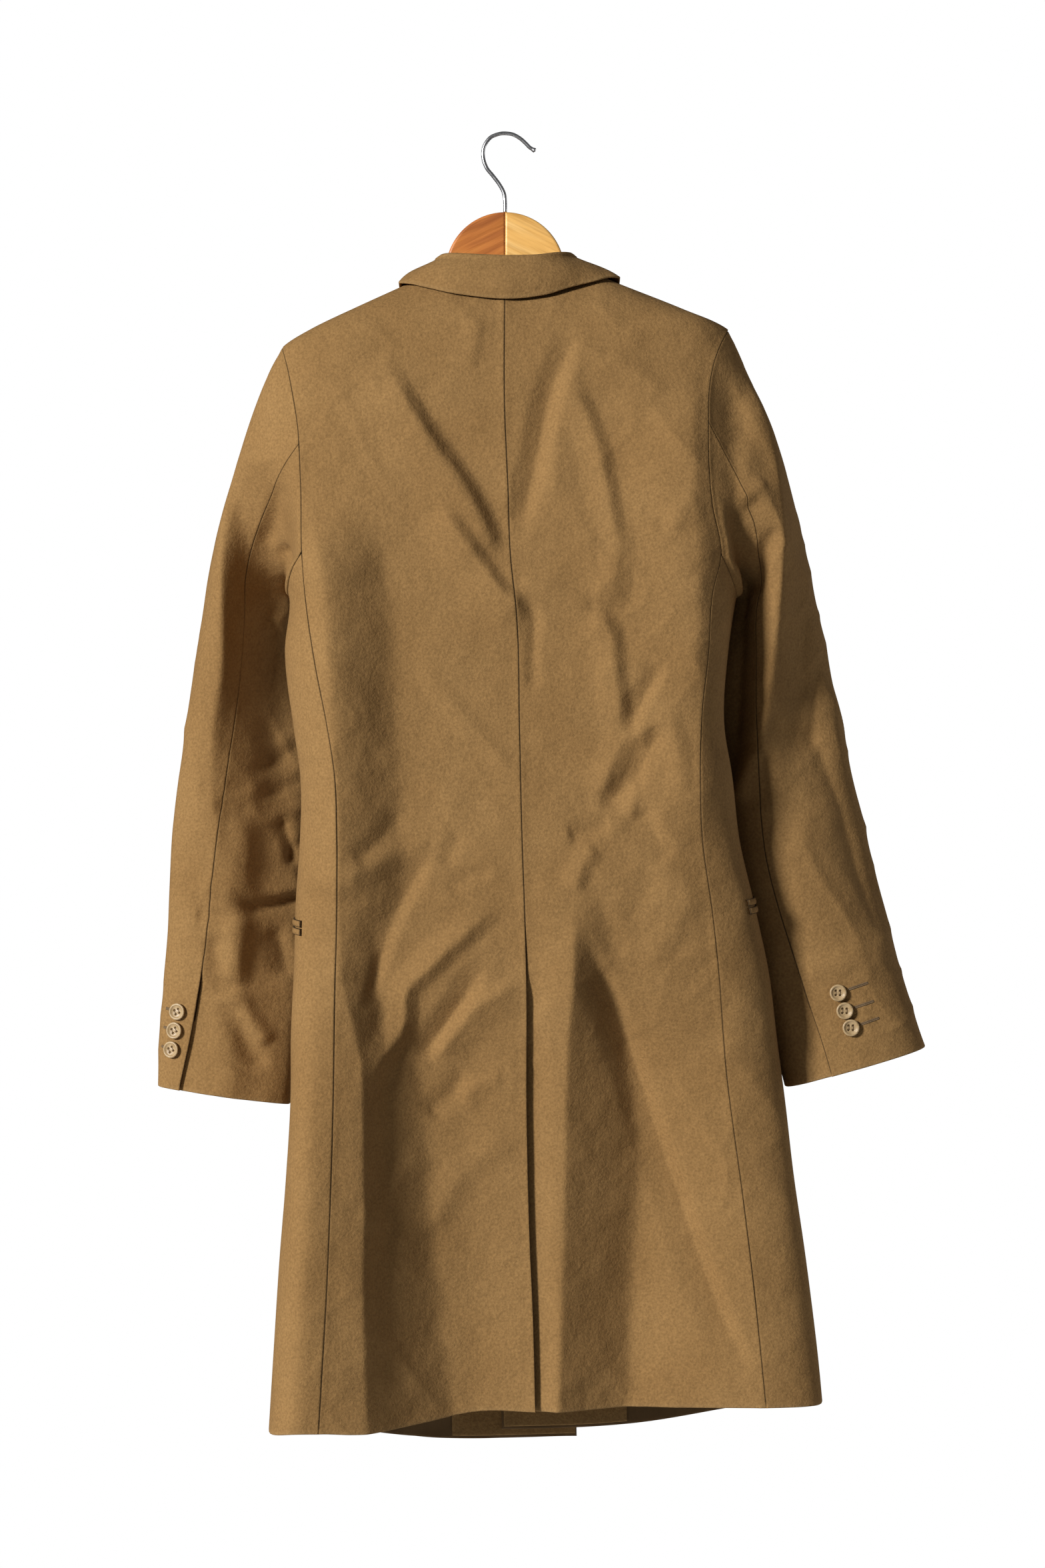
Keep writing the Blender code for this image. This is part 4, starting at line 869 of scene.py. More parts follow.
def lapel(side):
    """The turned-back lapel, from its roll line out; the right one ends at the left front."""
    up = edged(LAPEL_GRID.rows, LAPEL_GRID.length)
    roll = LAPEL_FOOT[side] + (LAPEL_TOP - LAPEL_FOOT[side]) * up
    width = smooth(column(LAPEL_WIDTHS, "height"), column(LAPEL_WIDTHS, "across"), roll)
    start = across_at(FRONT_EDGE[side], roll)
    outer = start + side * width
    inner = start + side * EDGE_INSET
    if side == RIGHT:
        inner = np.maximum(inner, across_at(FRONT_EDGE[LEFT], roll) + 4)
    across = inner[:, None] + (outer - inner)[:, None] * edged(LAPEL_GRID.columns, LAPEL_GRID.width)
    height = roll[:, None] + LAPEL_SLANT * abs(across - start[:, None])
    points = on_body(across, height, FRONT)
    normals = body_normals(points)
    lift = LAPEL_LIFT + WALL + front_lift(side, points, normals)
    return points + normals * lift[..., None], normals


# Sleeves

@lru_cache
def armhole(side):
    """The armhole's loop from the shoulder tip down the back, under the arm and up the front."""
    tip = SHOULDER_TIP[side].height
    down = np.linspace(tip, BACK_JUNCTION[side], 60)
    back = on_body(across_at(BACK_SEAM[side], down), down, BACK)
    back = back + TO_BACK * back_lift(side, back, body_normals(back))[:, None]
    share = np.linspace(0, 1, 48)[1:-1]
    under = side_grid(side, share, np.ones_like(share))
    under = under + side_shift(side, under, body_normals(under), ramp(share, 0.3, 1))
    up = np.linspace(FRONT_JUNCTION[side], tip, 60)
    front = on_body(across_at(FRONT_SEAM[side], up), up, FRONT)
    loop = np.concatenate([back, under, front])
    travel = travel_along(loop)
    return loop, travel / travel[-1]


def at_armhole(side, turn):
    loop, travel = armhole(side)
    share = np.mod(turn, 2 * pi) / (2 * pi)
    return read_along(loop, travel, share)


def sleeve_ring(side, turn, along):
    """A point of the sleeve below the cap, by ring number and turn from the outer edge round the back."""
    rings = SLEEVE_RINGS[side]
    place = np.arange(len(rings))
    value = {name: smooth(place, column(rings, name), along) for name in Ring._fields}
    tilt = np.radians(value["tilt"])
    inward = np.stack([-side * np.cos(tilt), np.zeros_like(tilt), -np.sin(tilt)], axis=-1)
    edge = np.stack([value["across"], value["set_forward"], value["height"]], axis=-1)
    centre = edge + inward * (value["width"] / 2)[..., None]
    out = np.sign(np.cos(turn)) * abs(np.cos(turn)) ** 0.8 * value["width"] / 2
    back = np.sign(np.sin(turn)) * abs(np.sin(turn)) ** 0.8 * value["depth"] / 2
    return centre - inward * out[..., None] + TO_BACK * back[..., None]


def sleeve_point(side, turn, along):
    """A point of the sleeve: along is -1 at the armhole and 0 at the first ring, then counts the rings."""
    start = at_armhole(side, turn)
    first = sleeve_ring(side, turn, np.zeros_like(along))
    second = sleeve_ring(side, turn, np.full_like(along, 0.05))
    low = np.sin(turn / 2) ** 2
    leave = np.stack([side * (0.55 + 0.3 * low), 0.25 * np.sin(turn), -0.85 + 0.73 * low], axis=-1)
    leave = unit(leave)
    start = start + leave * ARMHOLE_GAP
    span = np.linalg.norm(first - start, axis=-1, keepdims=True)
    down = unit(second - first)
    t = np.clip(along + 1, 0, 1)[..., None]
    cap = start * (1 + 2 * t) * (1 - t) ** 2 + first * t * t * (3 - 2 * t)
    cap = cap + span * (leave * 0.55 * t * (1 - t) ** 2 - down * 0.9 * t * t * (1 - t))
    return np.where(t < 1, cap, sleeve_ring(side, turn, np.maximum(along, 0)))


def sleeve_normals(side, turn, along):
    step = 0.02
    across = sleeve_point(side, turn + step, along) - sleeve_point(side, turn - step, along)
    last = len(SLEEVE_RINGS[side]) - 1
    near = np.clip(along - step, -1, last)
    far = np.clip(along + step, -1, last)
    down = sleeve_point(side, turn, far) - sleeve_point(side, turn, near)
    return unit(np.cross(across, down) * side)


def hind_turn(side, along):
    """Turn of the sleeve's back seam."""
    rings = SLEEVE_RINGS[side]
    place = np.arange(-1, len(rings))
    return np.radians(smooth(place, [ARMHOLE_SEAM_TURN[side], *column(rings, "seam_turn")], along))


def in_cuff_vent(side, along):
    """0 above the sleeve's vent, 1 in it."""
    heights = column(SLEEVE_RINGS[side], "height")
    height = smooth(np.arange(len(heights)), heights, along)
    return ramp(heights[-1] + CUFF_VENT_LENGTH - height, 0, 26)


def sleeve_shift(side, points, normals, along):
    """How the sleeve's cloth is moved from its plain form."""
    across, height = points[..., 0], points[..., 2]
    rings = SLEEVE_RINGS[side]
    middle = smooth(np.arange(len(rings)), column(rings, "set_forward"), along)
    depth = smooth(np.arange(len(rings)), column(rings, "depth"), along)
    share = np.clip(0.5 - (points[..., 1] - middle) / depth, 0, 1)
    folds = pleat_heights(SLEEVE_LEVELS[side], SLEEVE_PLEATS[side], across, height) * share
    behind = crease_heights(SLEEVE_CREASES[side], across, height) * ramp(-normals[..., 1], 0.05, 0.5)
    before = crease_heights(SLEEVE_FRONT_CREASES[side], across, height) * ramp(normals[..., 1], 0.1, 0.6)
    waves = unevenness(across + 0.6 * points[..., 1], height, SLEEVE_SEEDS[side])
    lift = (behind + before) * ramp(along, -0.9, -0.5) + waves * ramp(along, -1, -0.7)
    return TO_BACK * (folds * ramp(along, -0.95, -0.6))[..., None] + normals * lift[..., None]


def sleeve_panel(side, upper):
    last = len(SLEEVE_RINGS[side]) - 1
    top = np.array(EDGE_STEPS) / SLEEVE_CAP_LENGTH - 1
    cap = np.concatenate([top, np.linspace(-0.97, 0, SLEEVE_CAP_ROWS)[:-1]])
    rest = np.linspace(0, last, SLEEVE_ROWS)
    hem = last - np.array(EDGE_STEPS[-2::-1]) / SLEEVE_LAST_STEP
    along = np.concatenate([cap, rest[rest < hem[0]], hem])
    hind = hind_turn(side, along)[:, None]
    fore = np.radians(FOREARM_SEAM_TURN)
    gap = SEAM_GAP / SLEEVE_SEAM_RADIUS
    along = along[:, None]
    share = edged(UPPER_SLEEVE_COLUMNS if upper else UNDER_SLEEVE_COLUMNS, SLEEVE_WIDTH)
    if upper:
        start = fore - 2 * pi + gap
        turn = start + (hind - gap - start) * share
        drop = np.zeros(turn.shape)
    else:
        lap = hind + gap - np.radians(CUFF_UNDERLAP_TURN) * in_cuff_vent(side, along - CUFF_LAP_DELAY)
        turn = lap + (fore - gap - lap) * share
        drop = CUFF_VENT_DROP * in_cuff_vent(side, along) * (1 - ramp(turn - hind, 0.09, 0.5))
    along = np.broadcast_to(along, turn.shape)
    points = sleeve_point(side, turn, along)
    normals = sleeve_normals(side, turn, along)
    return points + sleeve_shift(side, points, normals, along) - normals * drop[..., None], normals


# Collar

def collar_mid(stand_steps=8, fold_steps=9):
    """Middle of the collar's wall: the stand up from the neck seam, the roll, then the fall to its edge."""
    place = np.arange(len(COLLAR))
    at = (len(COLLAR) - 1) * edged(COLLAR_GRID.rows, COLLAR_GRID.length)
    value = {name: smooth(place, column(COLLAR, name), at) for name in Station._fields}
    face = np.where(value["face"] < 0, BACK, FRONT)
    edge_depth = np.where(
        face == BACK,
        depth_at(value["edge_x"], value["edge_z"], BACK),
        depth_at(value["edge_x"], value["edge_z"], FRONT),
    )
    edge = np.stack([value["edge_x"], edge_depth, value["edge_z"]], axis=-1)
    edge = edge + body_normals(edge) * (COLLAR_LIFT + WALL / 2)
    roll = np.stack([value["roll_x"], value["roll_y"], value["roll_z"]], axis=-1)
    behind = value["roll_y"] < 0
    depth_behind = depth_at(value["neck_x"], value["neck_z"], BACK)
    depth_before = depth_at(value["neck_x"], value["neck_z"], FRONT)
    neck_y = np.where(behind, depth_behind + 1, depth_before - 3)
    neck = np.stack([value["neck_x"], neck_y, value["neck_z"] + 2], axis=-1)
    out = edge - neck
    out[:, 2] = 0
    out = unit(out)
    up = np.array([0, 0, 1.0])
    turns = np.linspace(pi, 0, fold_steps)
    fold = [roll + COLLAR_FOLD * (np.cos(turn) * out + (np.sin(turn) - 1) * up) for turn in turns]
    down = edged(COLLAR_GRID.columns, COLLAR_GRID.width)[len(EDGE_STEPS):]
    fall = [fold[-1] + (edge - fold[-1]) * s + out * 5 * np.sin(pi * s) for s in down]
    stand = [neck + (fold[0] - neck) * s for s in np.linspace(0, 1, stand_steps)[:-1]]
    return np.stack([*stand, *fold, *fall], axis=1)


def grid_normals(points):
    return unit(np.cross(np.gradient(points, axis=0), np.gradient(points, axis=1)))


# Meshes

def edge_distances(points):
    """How far each point of a grid lies from each of the grid's edges, along the cloth."""
    found = {}
    for axis, near, far in ((0, "start", "end"), (1, "first", "last")):
        steps = np.linalg.norm(np.diff(points, axis=axis), axis=-1)
        first = np.zeros_like(np.take(steps, [0], axis=axis))
        travel = np.concatenate([first, np.cumsum(steps, axis=axis)], axis=axis)
        found[near] = travel
        found[far] = np.take(travel, [-1], axis=axis) - travel
    return found


def wear_and_seam_shade_of(distances, free):
    """Above 0 where a free edge rubs and wears paler, below 0 for painted shade in the groove of a seam."""
    rubbed = sum(1 - ramp(distances[edge], 0, 5) for edge in distances if edge in free)
    sewn = [gap for edge, gap in distances.items() if edge not in free]
    return rubbed - sum(1 - ramp(gap, SEAM_SHADE / 3, SEAM_SHADE) for gap in sewn)


def add_object(name, mesh, *looks):
    made = bpy.data.objects.new(name, mesh)
    for look in looks:
        mesh.materials.append(look)
    bpy.context.scene.collection.objects.link(made)
    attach(made, "root")
    return made


def finished(shaped, mesh):
    """Writes a shape to its mesh, smooth and with its faces turned out."""
    bmesh.ops.recalc_face_normals(shaped, faces=shaped.faces)
    shaped.to_mesh(mesh)
    shaped.free()
    mesh.shade_smooth()
    return mesh


def join_rings(shaped, rings, material=0):
    for low, high in zip(rings[:-1], rings[1:]):
        for i in range(len(low)):
            j = (i + 1) % len(low)
            face = shaped.faces.new((low[i], low[j], high[j], high[i]))
            face.material_index = material


def wall_mesh(name, outer, inner, wear_and_seam_shade):
    """A closed wall lofted between two grids of points; its inner faces take the second material."""
    rows, columns = outer.shape[:2]
    points = np.concatenate([outer.reshape(-1, 3), inner.reshape(-1, 3)]) * MM
    index = np.arange(rows * columns).reshape(rows, columns)
    corners = np.stack([index[:-1, :-1], index[:-1, 1:], index[1:, 1:], index[1:, :-1]], axis=-1)
    corners = corners.reshape(-1, 4)
    rim = np.concatenate([index[0], index[1:, -1], index[-1, -2::-1], index[-2:0:-1, 0]])
    ahead = np.roll(rim, -1)
    back = rows * columns
    faces = np.concatenate([
        corners,
        corners[:, ::-1] + back,
        np.stack([ahead, rim, rim + back, ahead + back], axis=-1),
    ])
    mesh = bpy.data.meshes.new(name)
    mesh.from_pydata(points.tolist(), [], faces.tolist())
    shaped = bmesh.new()
    shaped.from_mesh(mesh)
    finished(shaped, mesh)
    is_inner = np.zeros(len(faces), np.int32)
    is_inner[len(corners):2 * len(corners)] = 1
    mesh.polygons.foreach_set("material_index", is_inner)
    # Per point: above 0 real wear at free edges, below 0 painted shade along the seams
    wear_and_seam_shade_attribute = mesh.attributes.new("wear_and_seam_shade", "FLOAT", "POINT")
    wear_and_seam_shade_attribute.data.foreach_set("value", np.tile(wear_and_seam_shade.reshape(-1), 2).astype(np.float32))
    return mesh


def shell(node, panel, looks, thickness, free):
    """A panel's piece in place of its solid: a thin shell with rolled edges and its seams pressed open."""
    points, normals = panel
    distances = edge_distances(points)
    rim = np.clip(np.min(list(distances.values()), axis=0) / ROLL, 0, 1)
    bite = (1 - np.sqrt(1 - (1 - rim) ** 2)) * thickness * 0.47
    ridge = sum(1 - ramp(gap, 0, SEAM_RIDGE_REACH) for edge, gap in distances.items() if edge not in free)
    outer = points + normals * (SEAM_RIDGE * ridge - bite)[..., None]
    inner = points - normals * (thickness - bite)[..., None]
    # Paler wear at free edges, painted shade along the sewn edges
    wear_and_seam_shade = wear_and_seam_shade_of(distances, free)
    made = add_object(f"cloth_{node}", wall_mesh(f"cloth_{node}", outer, inner, wear_and_seam_shade), *looks)
    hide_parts(node)
    return made


def cloth(node, panel, looks, free, thickness=WALL):
    """A panel's shell in place of its solid."""
    made = shell(node, panel, looks, thickness, free)
    return made


def collar(looks):
    middle = collar_mid()
    normals = grid_normals(middle)
    waves = 0.5 * wander(middle[..., 0], middle[..., 2] + middle[..., 1], 34, COLLAR_SEED)
    points = middle + normals * (WALL / 2 + waves[..., None])
    return cloth("collar", (points, normals), looks, ("start", "end", "last"))


def tube_mesh(name, centres, radii, sides=16):
    """A round bar along a path, with closed ends."""
    centres = np.asarray(centres, float)
    tangent = unit(np.gradient(centres, axis=0))
    level = np.array([0.0, 1.0, 0.0]) if abs(tangent[0][1]) < 0.9 else np.array([1.0, 0.0, 0.0])
    first = unit(np.cross(tangent, level))
    second = np.cross(tangent, first)
    made = bmesh.new()
    rings = []
    for centre, radius, one, two in zip(centres, radii, first, second):
        turns = np.linspace(0, 2 * pi, sides, endpoint=False)
        ring = [made.verts.new((centre + radius * (cos(t) * one + sin(t) * two)) * MM) for t in turns]
        rings.append(ring)
    join_rings(made, rings)
    made.faces.new(rings[0])
    made.faces.new(rings[-1])
    return finished(made, bpy.data.meshes.new(name))


# Buttons and buttonholes

def button_profile(share, height):
    """Height of a button's face by its share of the radius: a dished middle inside a raised rim."""
    shares = (0, 0.55, 0.66, 0.8, 0.92, 0.98, 1)
    heights = (0.6, 0.62, 0.72, 1, 0.97, 0.82, 0.55)
    return height * smooth(shares, heights, share)


def button(node, centre, normal, diameter, looks):
    """A four-hole button with its thread, its back on the cloth."""
    radius, height = diameter / 2, diameter * 0.2
    hole_at, hole_radius = diameter * 0.125, diameter * 0.068
    rings, spokes = 28, 60
    turns = np.linspace(0, 2 * pi, spokes, endpoint=False)
    share, turn = np.meshgrid(np.linspace(0.02, 1, rings), turns, indexing="ij")
    x, y = radius * share * np.cos(turn), radius * share * np.sin(turn)
    from_hole = np.hypot(abs(x) - hole_at, abs(y) - hole_at)
    face = button_profile(share, height)
    sunk = 1 - ramp(from_hole, hole_radius * 0.75, hole_radius * 1.15)
    face = face * (1 - sunk * 0.97)
    top = np.stack([x, y, face], axis=-1).reshape(-1, 3)
    below = np.stack([x[-1] * 0.86, y[-1] * 0.86, 0 * x[-1]], axis=-1)
    points = np.concatenate([top, below])
    index = np.arange(len(points)).reshape(-1, spokes)
    quads = np.stack([index[:-1], np.roll(index[:-1], -1, axis=1),
                      np.roll(index[1:], -1, axis=1), index[1:]], axis=-1).reshape(-1, 4)
    mesh = bpy.data.meshes.new(node)
    caps = [index[0].tolist()[::-1], index[-1].tolist()]
    mesh.from_pydata((points * MM).tolist(), [], quads.tolist() + caps)
    shaped = bmesh.new()
    shaped.from_mesh(mesh)
    for across in (-hole_at, hole_at):
        add_stitch(shaped, across, hole_at, height * 0.5)
    made = add_object(f"sewn_{node}", finished(shaped, mesh), *looks)
    upright = Vector((0, 0, 1)).rotation_difference(Vector(normal))
    place = Matrix.Translation(Vector(centre + normal * BUTTON_GAP) * MM)
    made.matrix_world = place @ upright.to_matrix().to_4x4()
    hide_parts(node)
    return made


def add_stitch(shaped, across, reach, height):
    """A loop of thread over the button's face from one hole to the next."""
    steps, sides, thick = 9, 8, reach * 0.17
    rings = []
    for t in np.linspace(0, pi, steps):
        centre = np.array([across, -reach * cos(t), height * (0.25 + 0.95 * sin(t) ** 0.6)])
        out = np.array([0, -cos(t), sin(t)])
        turns = np.linspace(0, 2 * pi, sides, endpoint=False)
        ring = [centre + thick * (cos(a) * out + sin(a) * np.array([1, 0, 0])) for a in turns]
        rings.append([shaped.verts.new(point * MM) for point in ring])
    join_rings(shaped, rings, material=1)


def buttonhole(name, line, normals, look):
    """A worked buttonhole along a line on the cloth: two beads of stitches beside a slit."""
    line, normals = np.asarray(line), np.asarray(normals)
    travel = travel_along(line)
    at = np.linspace(0, travel[-1], 64)
    line, normals = read_along(line, travel, at), read_along(normals, travel, at)
    tangent = np.gradient(line, axis=0)
    beside = unit(np.cross(normals, tangent))
    share = np.linspace(-1, 1, 9)
    end = np.clip(np.minimum(at, at[-1] - at) / (BUTTONHOLE_WIDTH / 2), 0, 1)
    width = BUTTONHOLE_WIDTH / 2 * np.sqrt(1 - (1 - end) ** 2) + 0.05
    bead = 0.55 * np.sin(pi * np.clip(abs(share), 0, 1)) ** 0.7
    stitched = 1 + 0.28 * np.sin(2 * pi * at / STITCH_PITCH)
    rise = bead * (stitched * np.sqrt(end))[:, None] + 0.06
    flat = line[:, None] + beside[:, None] * (width[:, None] * share)[..., None]
    outer = flat + normals[:, None] * rise[..., None]
    inner = flat - normals[:, None] * 0.25
    made = add_object(name, wall_mesh(name, outer, inner, 0 * rise), look)
    return made


def cuff_place(side, above_hem, turn_offset):
    """A point on the upper sleeve beside its vent, and the direction out of it."""
    heights = column(SLEEVE_RINGS[side], "height")
    along = smooth(heights, np.arange(len(heights)), heights[-1] + np.asarray(above_hem, float))
    turn = hind_turn(side, along) - CUFF_BUTTON_TURN - turn_offset
    points, normals = sleeve_point(side, turn, along), sleeve_normals(side, turn, along)
    return points + sleeve_shift(side, points, normals, along), normals


def cuff_trim(side, button_looks, thread_look):
    for count, above in enumerate(CUFF_BUTTONS_ABOVE_HEM, 1):
        word = f"{WORDS[side]}_{count}"
        place, normal = cuff_place(side, np.array([above]), 0)
        button(f"cuff_button_{word}", place[0], normal[0], CUFF_BUTTON_DIAMETER, button_looks)
        offsets = np.linspace(0.1, 0.38, 24)
        line, normals = cuff_place(side, above + 3.5 * offsets, offsets)
        buttonhole(f"cuff_buttonhole_{word}", line, normals, thread_look)


def front_place(height, offset):
    """A point on the left front by its distance from the buttons' line, and the direction out of it."""
    height = np.broadcast_to(np.asarray(height, float), np.shape(offset))
    across = across_at(FRONT_EDGE[LEFT], height) - FRONT_BUTTON_INSET + offset
    points = on_body(across, height, FRONT)
    normals = body_normals(points)
    return points + normals * front_lift(LEFT, points, normals)[..., None], normals


def front_trim(button_looks, thread_look):
    for count, height in enumerate(FRONT_BUTTON_HEIGHTS, 1):
        place, normal = front_place(height, np.zeros(1))
        button(f"front_button_{count}", place[0], normal[0], FRONT_BUTTON_DIAMETER, button_looks)
        line, normals = front_place(height, np.linspace(-4, 18, 12))
        buttonhole(f"front_buttonhole_{count}", line, normals, thread_look)


def jet(node, side, low, high, looks):
    """One welt of a pocket, laid across the side panel and the front."""
    turns = np.linspace(*POCKET_TURNS, JET_COLUMNS)
    turn, rise = np.meshgrid(turns, low + (high - low) * edged(8, JET_HEIGHT))
    points = around(side, turn, POCKET_HEIGHT[side] + rise + POCKET_SLANT * turn)
    normals = body_normals(points)
    crown = 0.5 * np.sin(pi * (rise - low) / (high - low))
    points = points + side_shift(side, points, normals, ramp(turn, -0.2, 0.6))
    points = points + normals * (SEAM_GAP + JET_WALL + crown)[..., None]
    return shell(node, (points, normals), looks, JET_WALL, ())


# Hanger and hook

def shoulder_height(side, across):
    rows = [row for row in SECTIONS if row.height >= SHOULDER_TIP[side].height]
    edges = column(rows, "left" if side == LEFT else "right")
    return smooth(edges, column(rows, "height"), across)


def hanger_outline(side):
    """Edge of half the hanger's board: the hump at its neck and one arm under the shoulder."""
    centre = HANGER_TOP - HANGER_HUMP_RADIUS
    hump = [(side * HANGER_HUMP_RADIUS * sin(a), centre + HANGER_HUMP_RADIUS * cos(a))
            for a in np.linspace(0, 1.62, 49)]
    hump[0] = (side * SEAM_GAP / 2, HANGER_TOP)
    seat = WALL * 1.15 + HANGER_SEAT

    def arm_point(x, drop):
        return side * x, float(shoulder_height(side, side * x)) - seat - drop

    top = [arm_point(x, 0) for x in np.linspace(62, HANGER_REACH, 30)]
    end_x, end_z = top[-1]
    tip = [(end_x + side * 5 * sin(a), end_z - 6 + 6 * cos(a)) for a in np.linspace(0.5, pi, 12)]
    below = np.linspace(160, 40, 24)
    under = [arm_point(x, HANGER_ARM_DEPTH - 12 * (x / HANGER_REACH) ** 2) for x in below]
    return [*hump, *top, *tip, *under, (side * SEAM_GAP / 2, HANGER_FOOT)]


def hanger_half(node, side, look):
    curve = bpy.data.curves.new(node, "CURVE")
    curve.dimensions = "2D"
    curve.fill_mode = "BOTH"
    curve.extrude = (HANGER_THICKNESS / 2 - HANGER_EDGE) * MM
    curve.bevel_depth = HANGER_EDGE * MM
    curve.bevel_resolution = 4
    curve.offset = -HANGER_EDGE * MM
    outline = hanger_outline(side)
    line = curve.splines.new("POLY")
    line.points.add(len(outline) - 1)
    for point, (x, z) in zip(line.points, outline):
        point.co = (x * MM, z * MM, 0, 1)
    line.use_cyclic_u = True
    drawn = bpy.data.objects.new("outline", curve)
    drawn.rotation_euler = (radians(90), 0, 0)
    bpy.context.scene.collection.objects.link(drawn)
    bpy.context.view_layer.update()
    mesh = bpy.data.meshes.new_from_object(drawn.evaluated_get(bpy.context.evaluated_depsgraph_get()))
    mesh.transform(drawn.matrix_world)
    bpy.data.objects.remove(drawn)
    mesh.shade_smooth()
    mesh.set_sharp_from_angle(angle=radians(35))
    made = add_object(f"board_{node}", mesh, look)
    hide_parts(node)
    return made


def hook(look):
    place = np.arange(len(HOOK_PATH))
    at = np.linspace(0, len(HOOK_PATH) - 1, 110)
    xs = smooth(place, [p[0] for p in HOOK_PATH], at)
    zs = smooth(place, [p[1] for p in HOOK_PATH], at)
    left = len(HOOK_PATH) - 1 - at
    knob = np.exp(-((left - 0.2) / 0.22) ** 2)
    radii = HOOK_WIRE_DIAMETER / 2 + (HOOK_KNOB_DIAMETER - HOOK_WIRE_DIAMETER) / 2 * knob
    radii = radii * np.sqrt(np.clip(left / 0.12, 0.05, 1))
    centres = np.stack([xs, 0 * xs, zs], axis=-1)
    made = add_object("wire_hook", tube_mesh("wire_hook", centres, radii, 24), look)
    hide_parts("hook")
    return made


# Materials

def new_material(name):
    made = bpy.data.materials.new(name)
    made.use_nodes = True
    return made, made.node_tree, made.node_tree.nodes["Principled BSDF"]


def node(tree, kind, **values):
    """A shader node with its settings and the values of its sockets."""
    made = tree.nodes.new(kind)
    for name, value in values.items():
        if hasattr(made, name):
            setattr(made, name, value)
        else:
            made.inputs[name.replace("_", " ")].default_value = value
    return made


def noise(tree, scale, detail=3.0, stretch=(1, 1, 1), tilt=0.0):
    """Noise in the object's own metres, stretched along an axis and tilted about Y if wanted."""
    place = node(tree, "ShaderNodeTexCoord")
    mapped = node(tree, "ShaderNodeMapping", vector_type="TEXTURE", Rotation=(0, tilt, 0))
    mapped.inputs["Scale"].default_value = [1 / part for part in stretch]
    made = node(tree, "ShaderNodeTexNoise", Scale=scale, Detail=detail)
    tree.links.new(place.outputs["Object"], mapped.inputs["Vector"])
    tree.links.new(mapped.outputs["Vector"], made.inputs["Vector"])
    return made.outputs["Fac"]


def graded(tree, factor, *stops):
    """A colour ramp with stops of (place, colour)."""
    made = node(tree, "ShaderNodeValToRGB")
    steps = made.color_ramp.elements
    while len(steps) < len(stops):
        steps.new(0.5)
    for step, (place, colour) in zip(steps, stops):
        step.position = place
        step.color = (*colour, 1)
    tree.links.new(factor, made.inputs["Fac"])
    return made.outputs["Color"]


def mixed(tree, blend, factor, first, second):
    """Two colours mixed; the factor is a number or a socket, and so is the second colour."""
    made = node(tree, "ShaderNodeMix", data_type="RGBA", blend_type=blend)
    for socket, value in ((made.inputs[0], factor), (made.inputs[6], first), (made.inputs[7], second)):
        if isinstance(value, (float, tuple)):
            socket.default_value = value
        else:
            tree.links.new(value, socket)
    return made.outputs[2]


def bumped(tree, shader, heights, strength, distance):
    """Bumps from several height sockets, each with its share."""
    total = None
    for socket, share in heights:
        scaled = node(tree, "ShaderNodeMath", operation="MULTIPLY")
        scaled.inputs[1].default_value = share
        tree.links.new(socket, scaled.inputs[0])
        if total is None:
            total = scaled.outputs[0]
            continue
        added = node(tree, "ShaderNodeMath", operation="ADD")
        tree.links.new(total, added.inputs[0])
        tree.links.new(scaled.outputs[0], added.inputs[1])
        total = added.outputs[0]
    bump = node(tree, "ShaderNodeBump", Strength=strength, Distance=distance)
    tree.links.new(total, bump.inputs["Height"])
    tree.links.new(bump.outputs["Normal"], shader.inputs["Normal"])


def ranged(tree, socket, low, high):
    """A socket between 0 and 1 moved to another range."""
    made = node(tree, "ShaderNodeMapRange")
    made.inputs["To Min"].default_value = low
    made.inputs["To Max"].default_value = high
    tree.links.new(socket, made.inputs["Value"])
    return made.outputs["Result"]


def cloth_material():
    """Short-napped cotton: mottled tan with a fine pebbled pile, paler where free edges rub, and darkened
    with painted shade along the seam grooves.
    """
    made, tree, shader = new_material("napped_cloth")
    mottle = noise(tree, 14, 4)
    pile = noise(tree, 480, 2)
    fluff = noise(tree, 1500, 2)
    crinkle = noise(tree, 26, 5)
    colour = graded(tree, mottle, (0.3, (0.262, 0.146, 0.052)), (0.7, (0.300, 0.172, 0.064)))
    speck = graded(tree, pile, (0.3, (0.80, 0.79, 0.77)), (0.7, (1.12, 1.12, 1.12)))
    colour = mixed(tree, "MULTIPLY", 1.0, colour, speck)
    wear_and_seam_shade_attribute = node(tree, "ShaderNodeAttribute", attribute_name="wear_and_seam_shade")
    colour = mixed(tree, "MIX", ranged(tree, wear_and_seam_shade_attribute.outputs["Fac"], 0, 0.15), colour, (0.42, 0.28, 0.13, 1))
    # Painted shade: along the seams the cloth is darkened towards near-black brown, standing in for the
    # shadow in grooves too fine for the mesh
    sunk = node(tree, "ShaderNodeMath", operation="MULTIPLY", use_clamp=True)
    sunk.inputs[1].default_value = -PAINTED_SEAM_SHADE_DARKNESS
    tree.links.new(wear_and_seam_shade_attribute.outputs["Fac"], sunk.inputs[0])
    colour = mixed(tree, "MIX", sunk.outputs[0], colour, (0.03, 0.018, 0.008, 1))
    tree.links.new(colour, shader.inputs["Base Color"])
    tree.links.new(ranged(tree, mottle, 0.84, 0.98), shader.inputs["Roughness"])
    shader.inputs["Specular IOR Level"].default_value = 0.12
    shader.inputs["Sheen Weight"].default_value = 0.05
    shader.inputs["Sheen Roughness"].default_value = 0.45
    shader.inputs["Sheen Tint"].default_value = (0.75, 0.52, 0.28, 1)
    bumped(tree, shader, ((pile, 0.5), (fluff, 0.25), (crinkle, 5.0)), 0.8, 0.001)
    return made


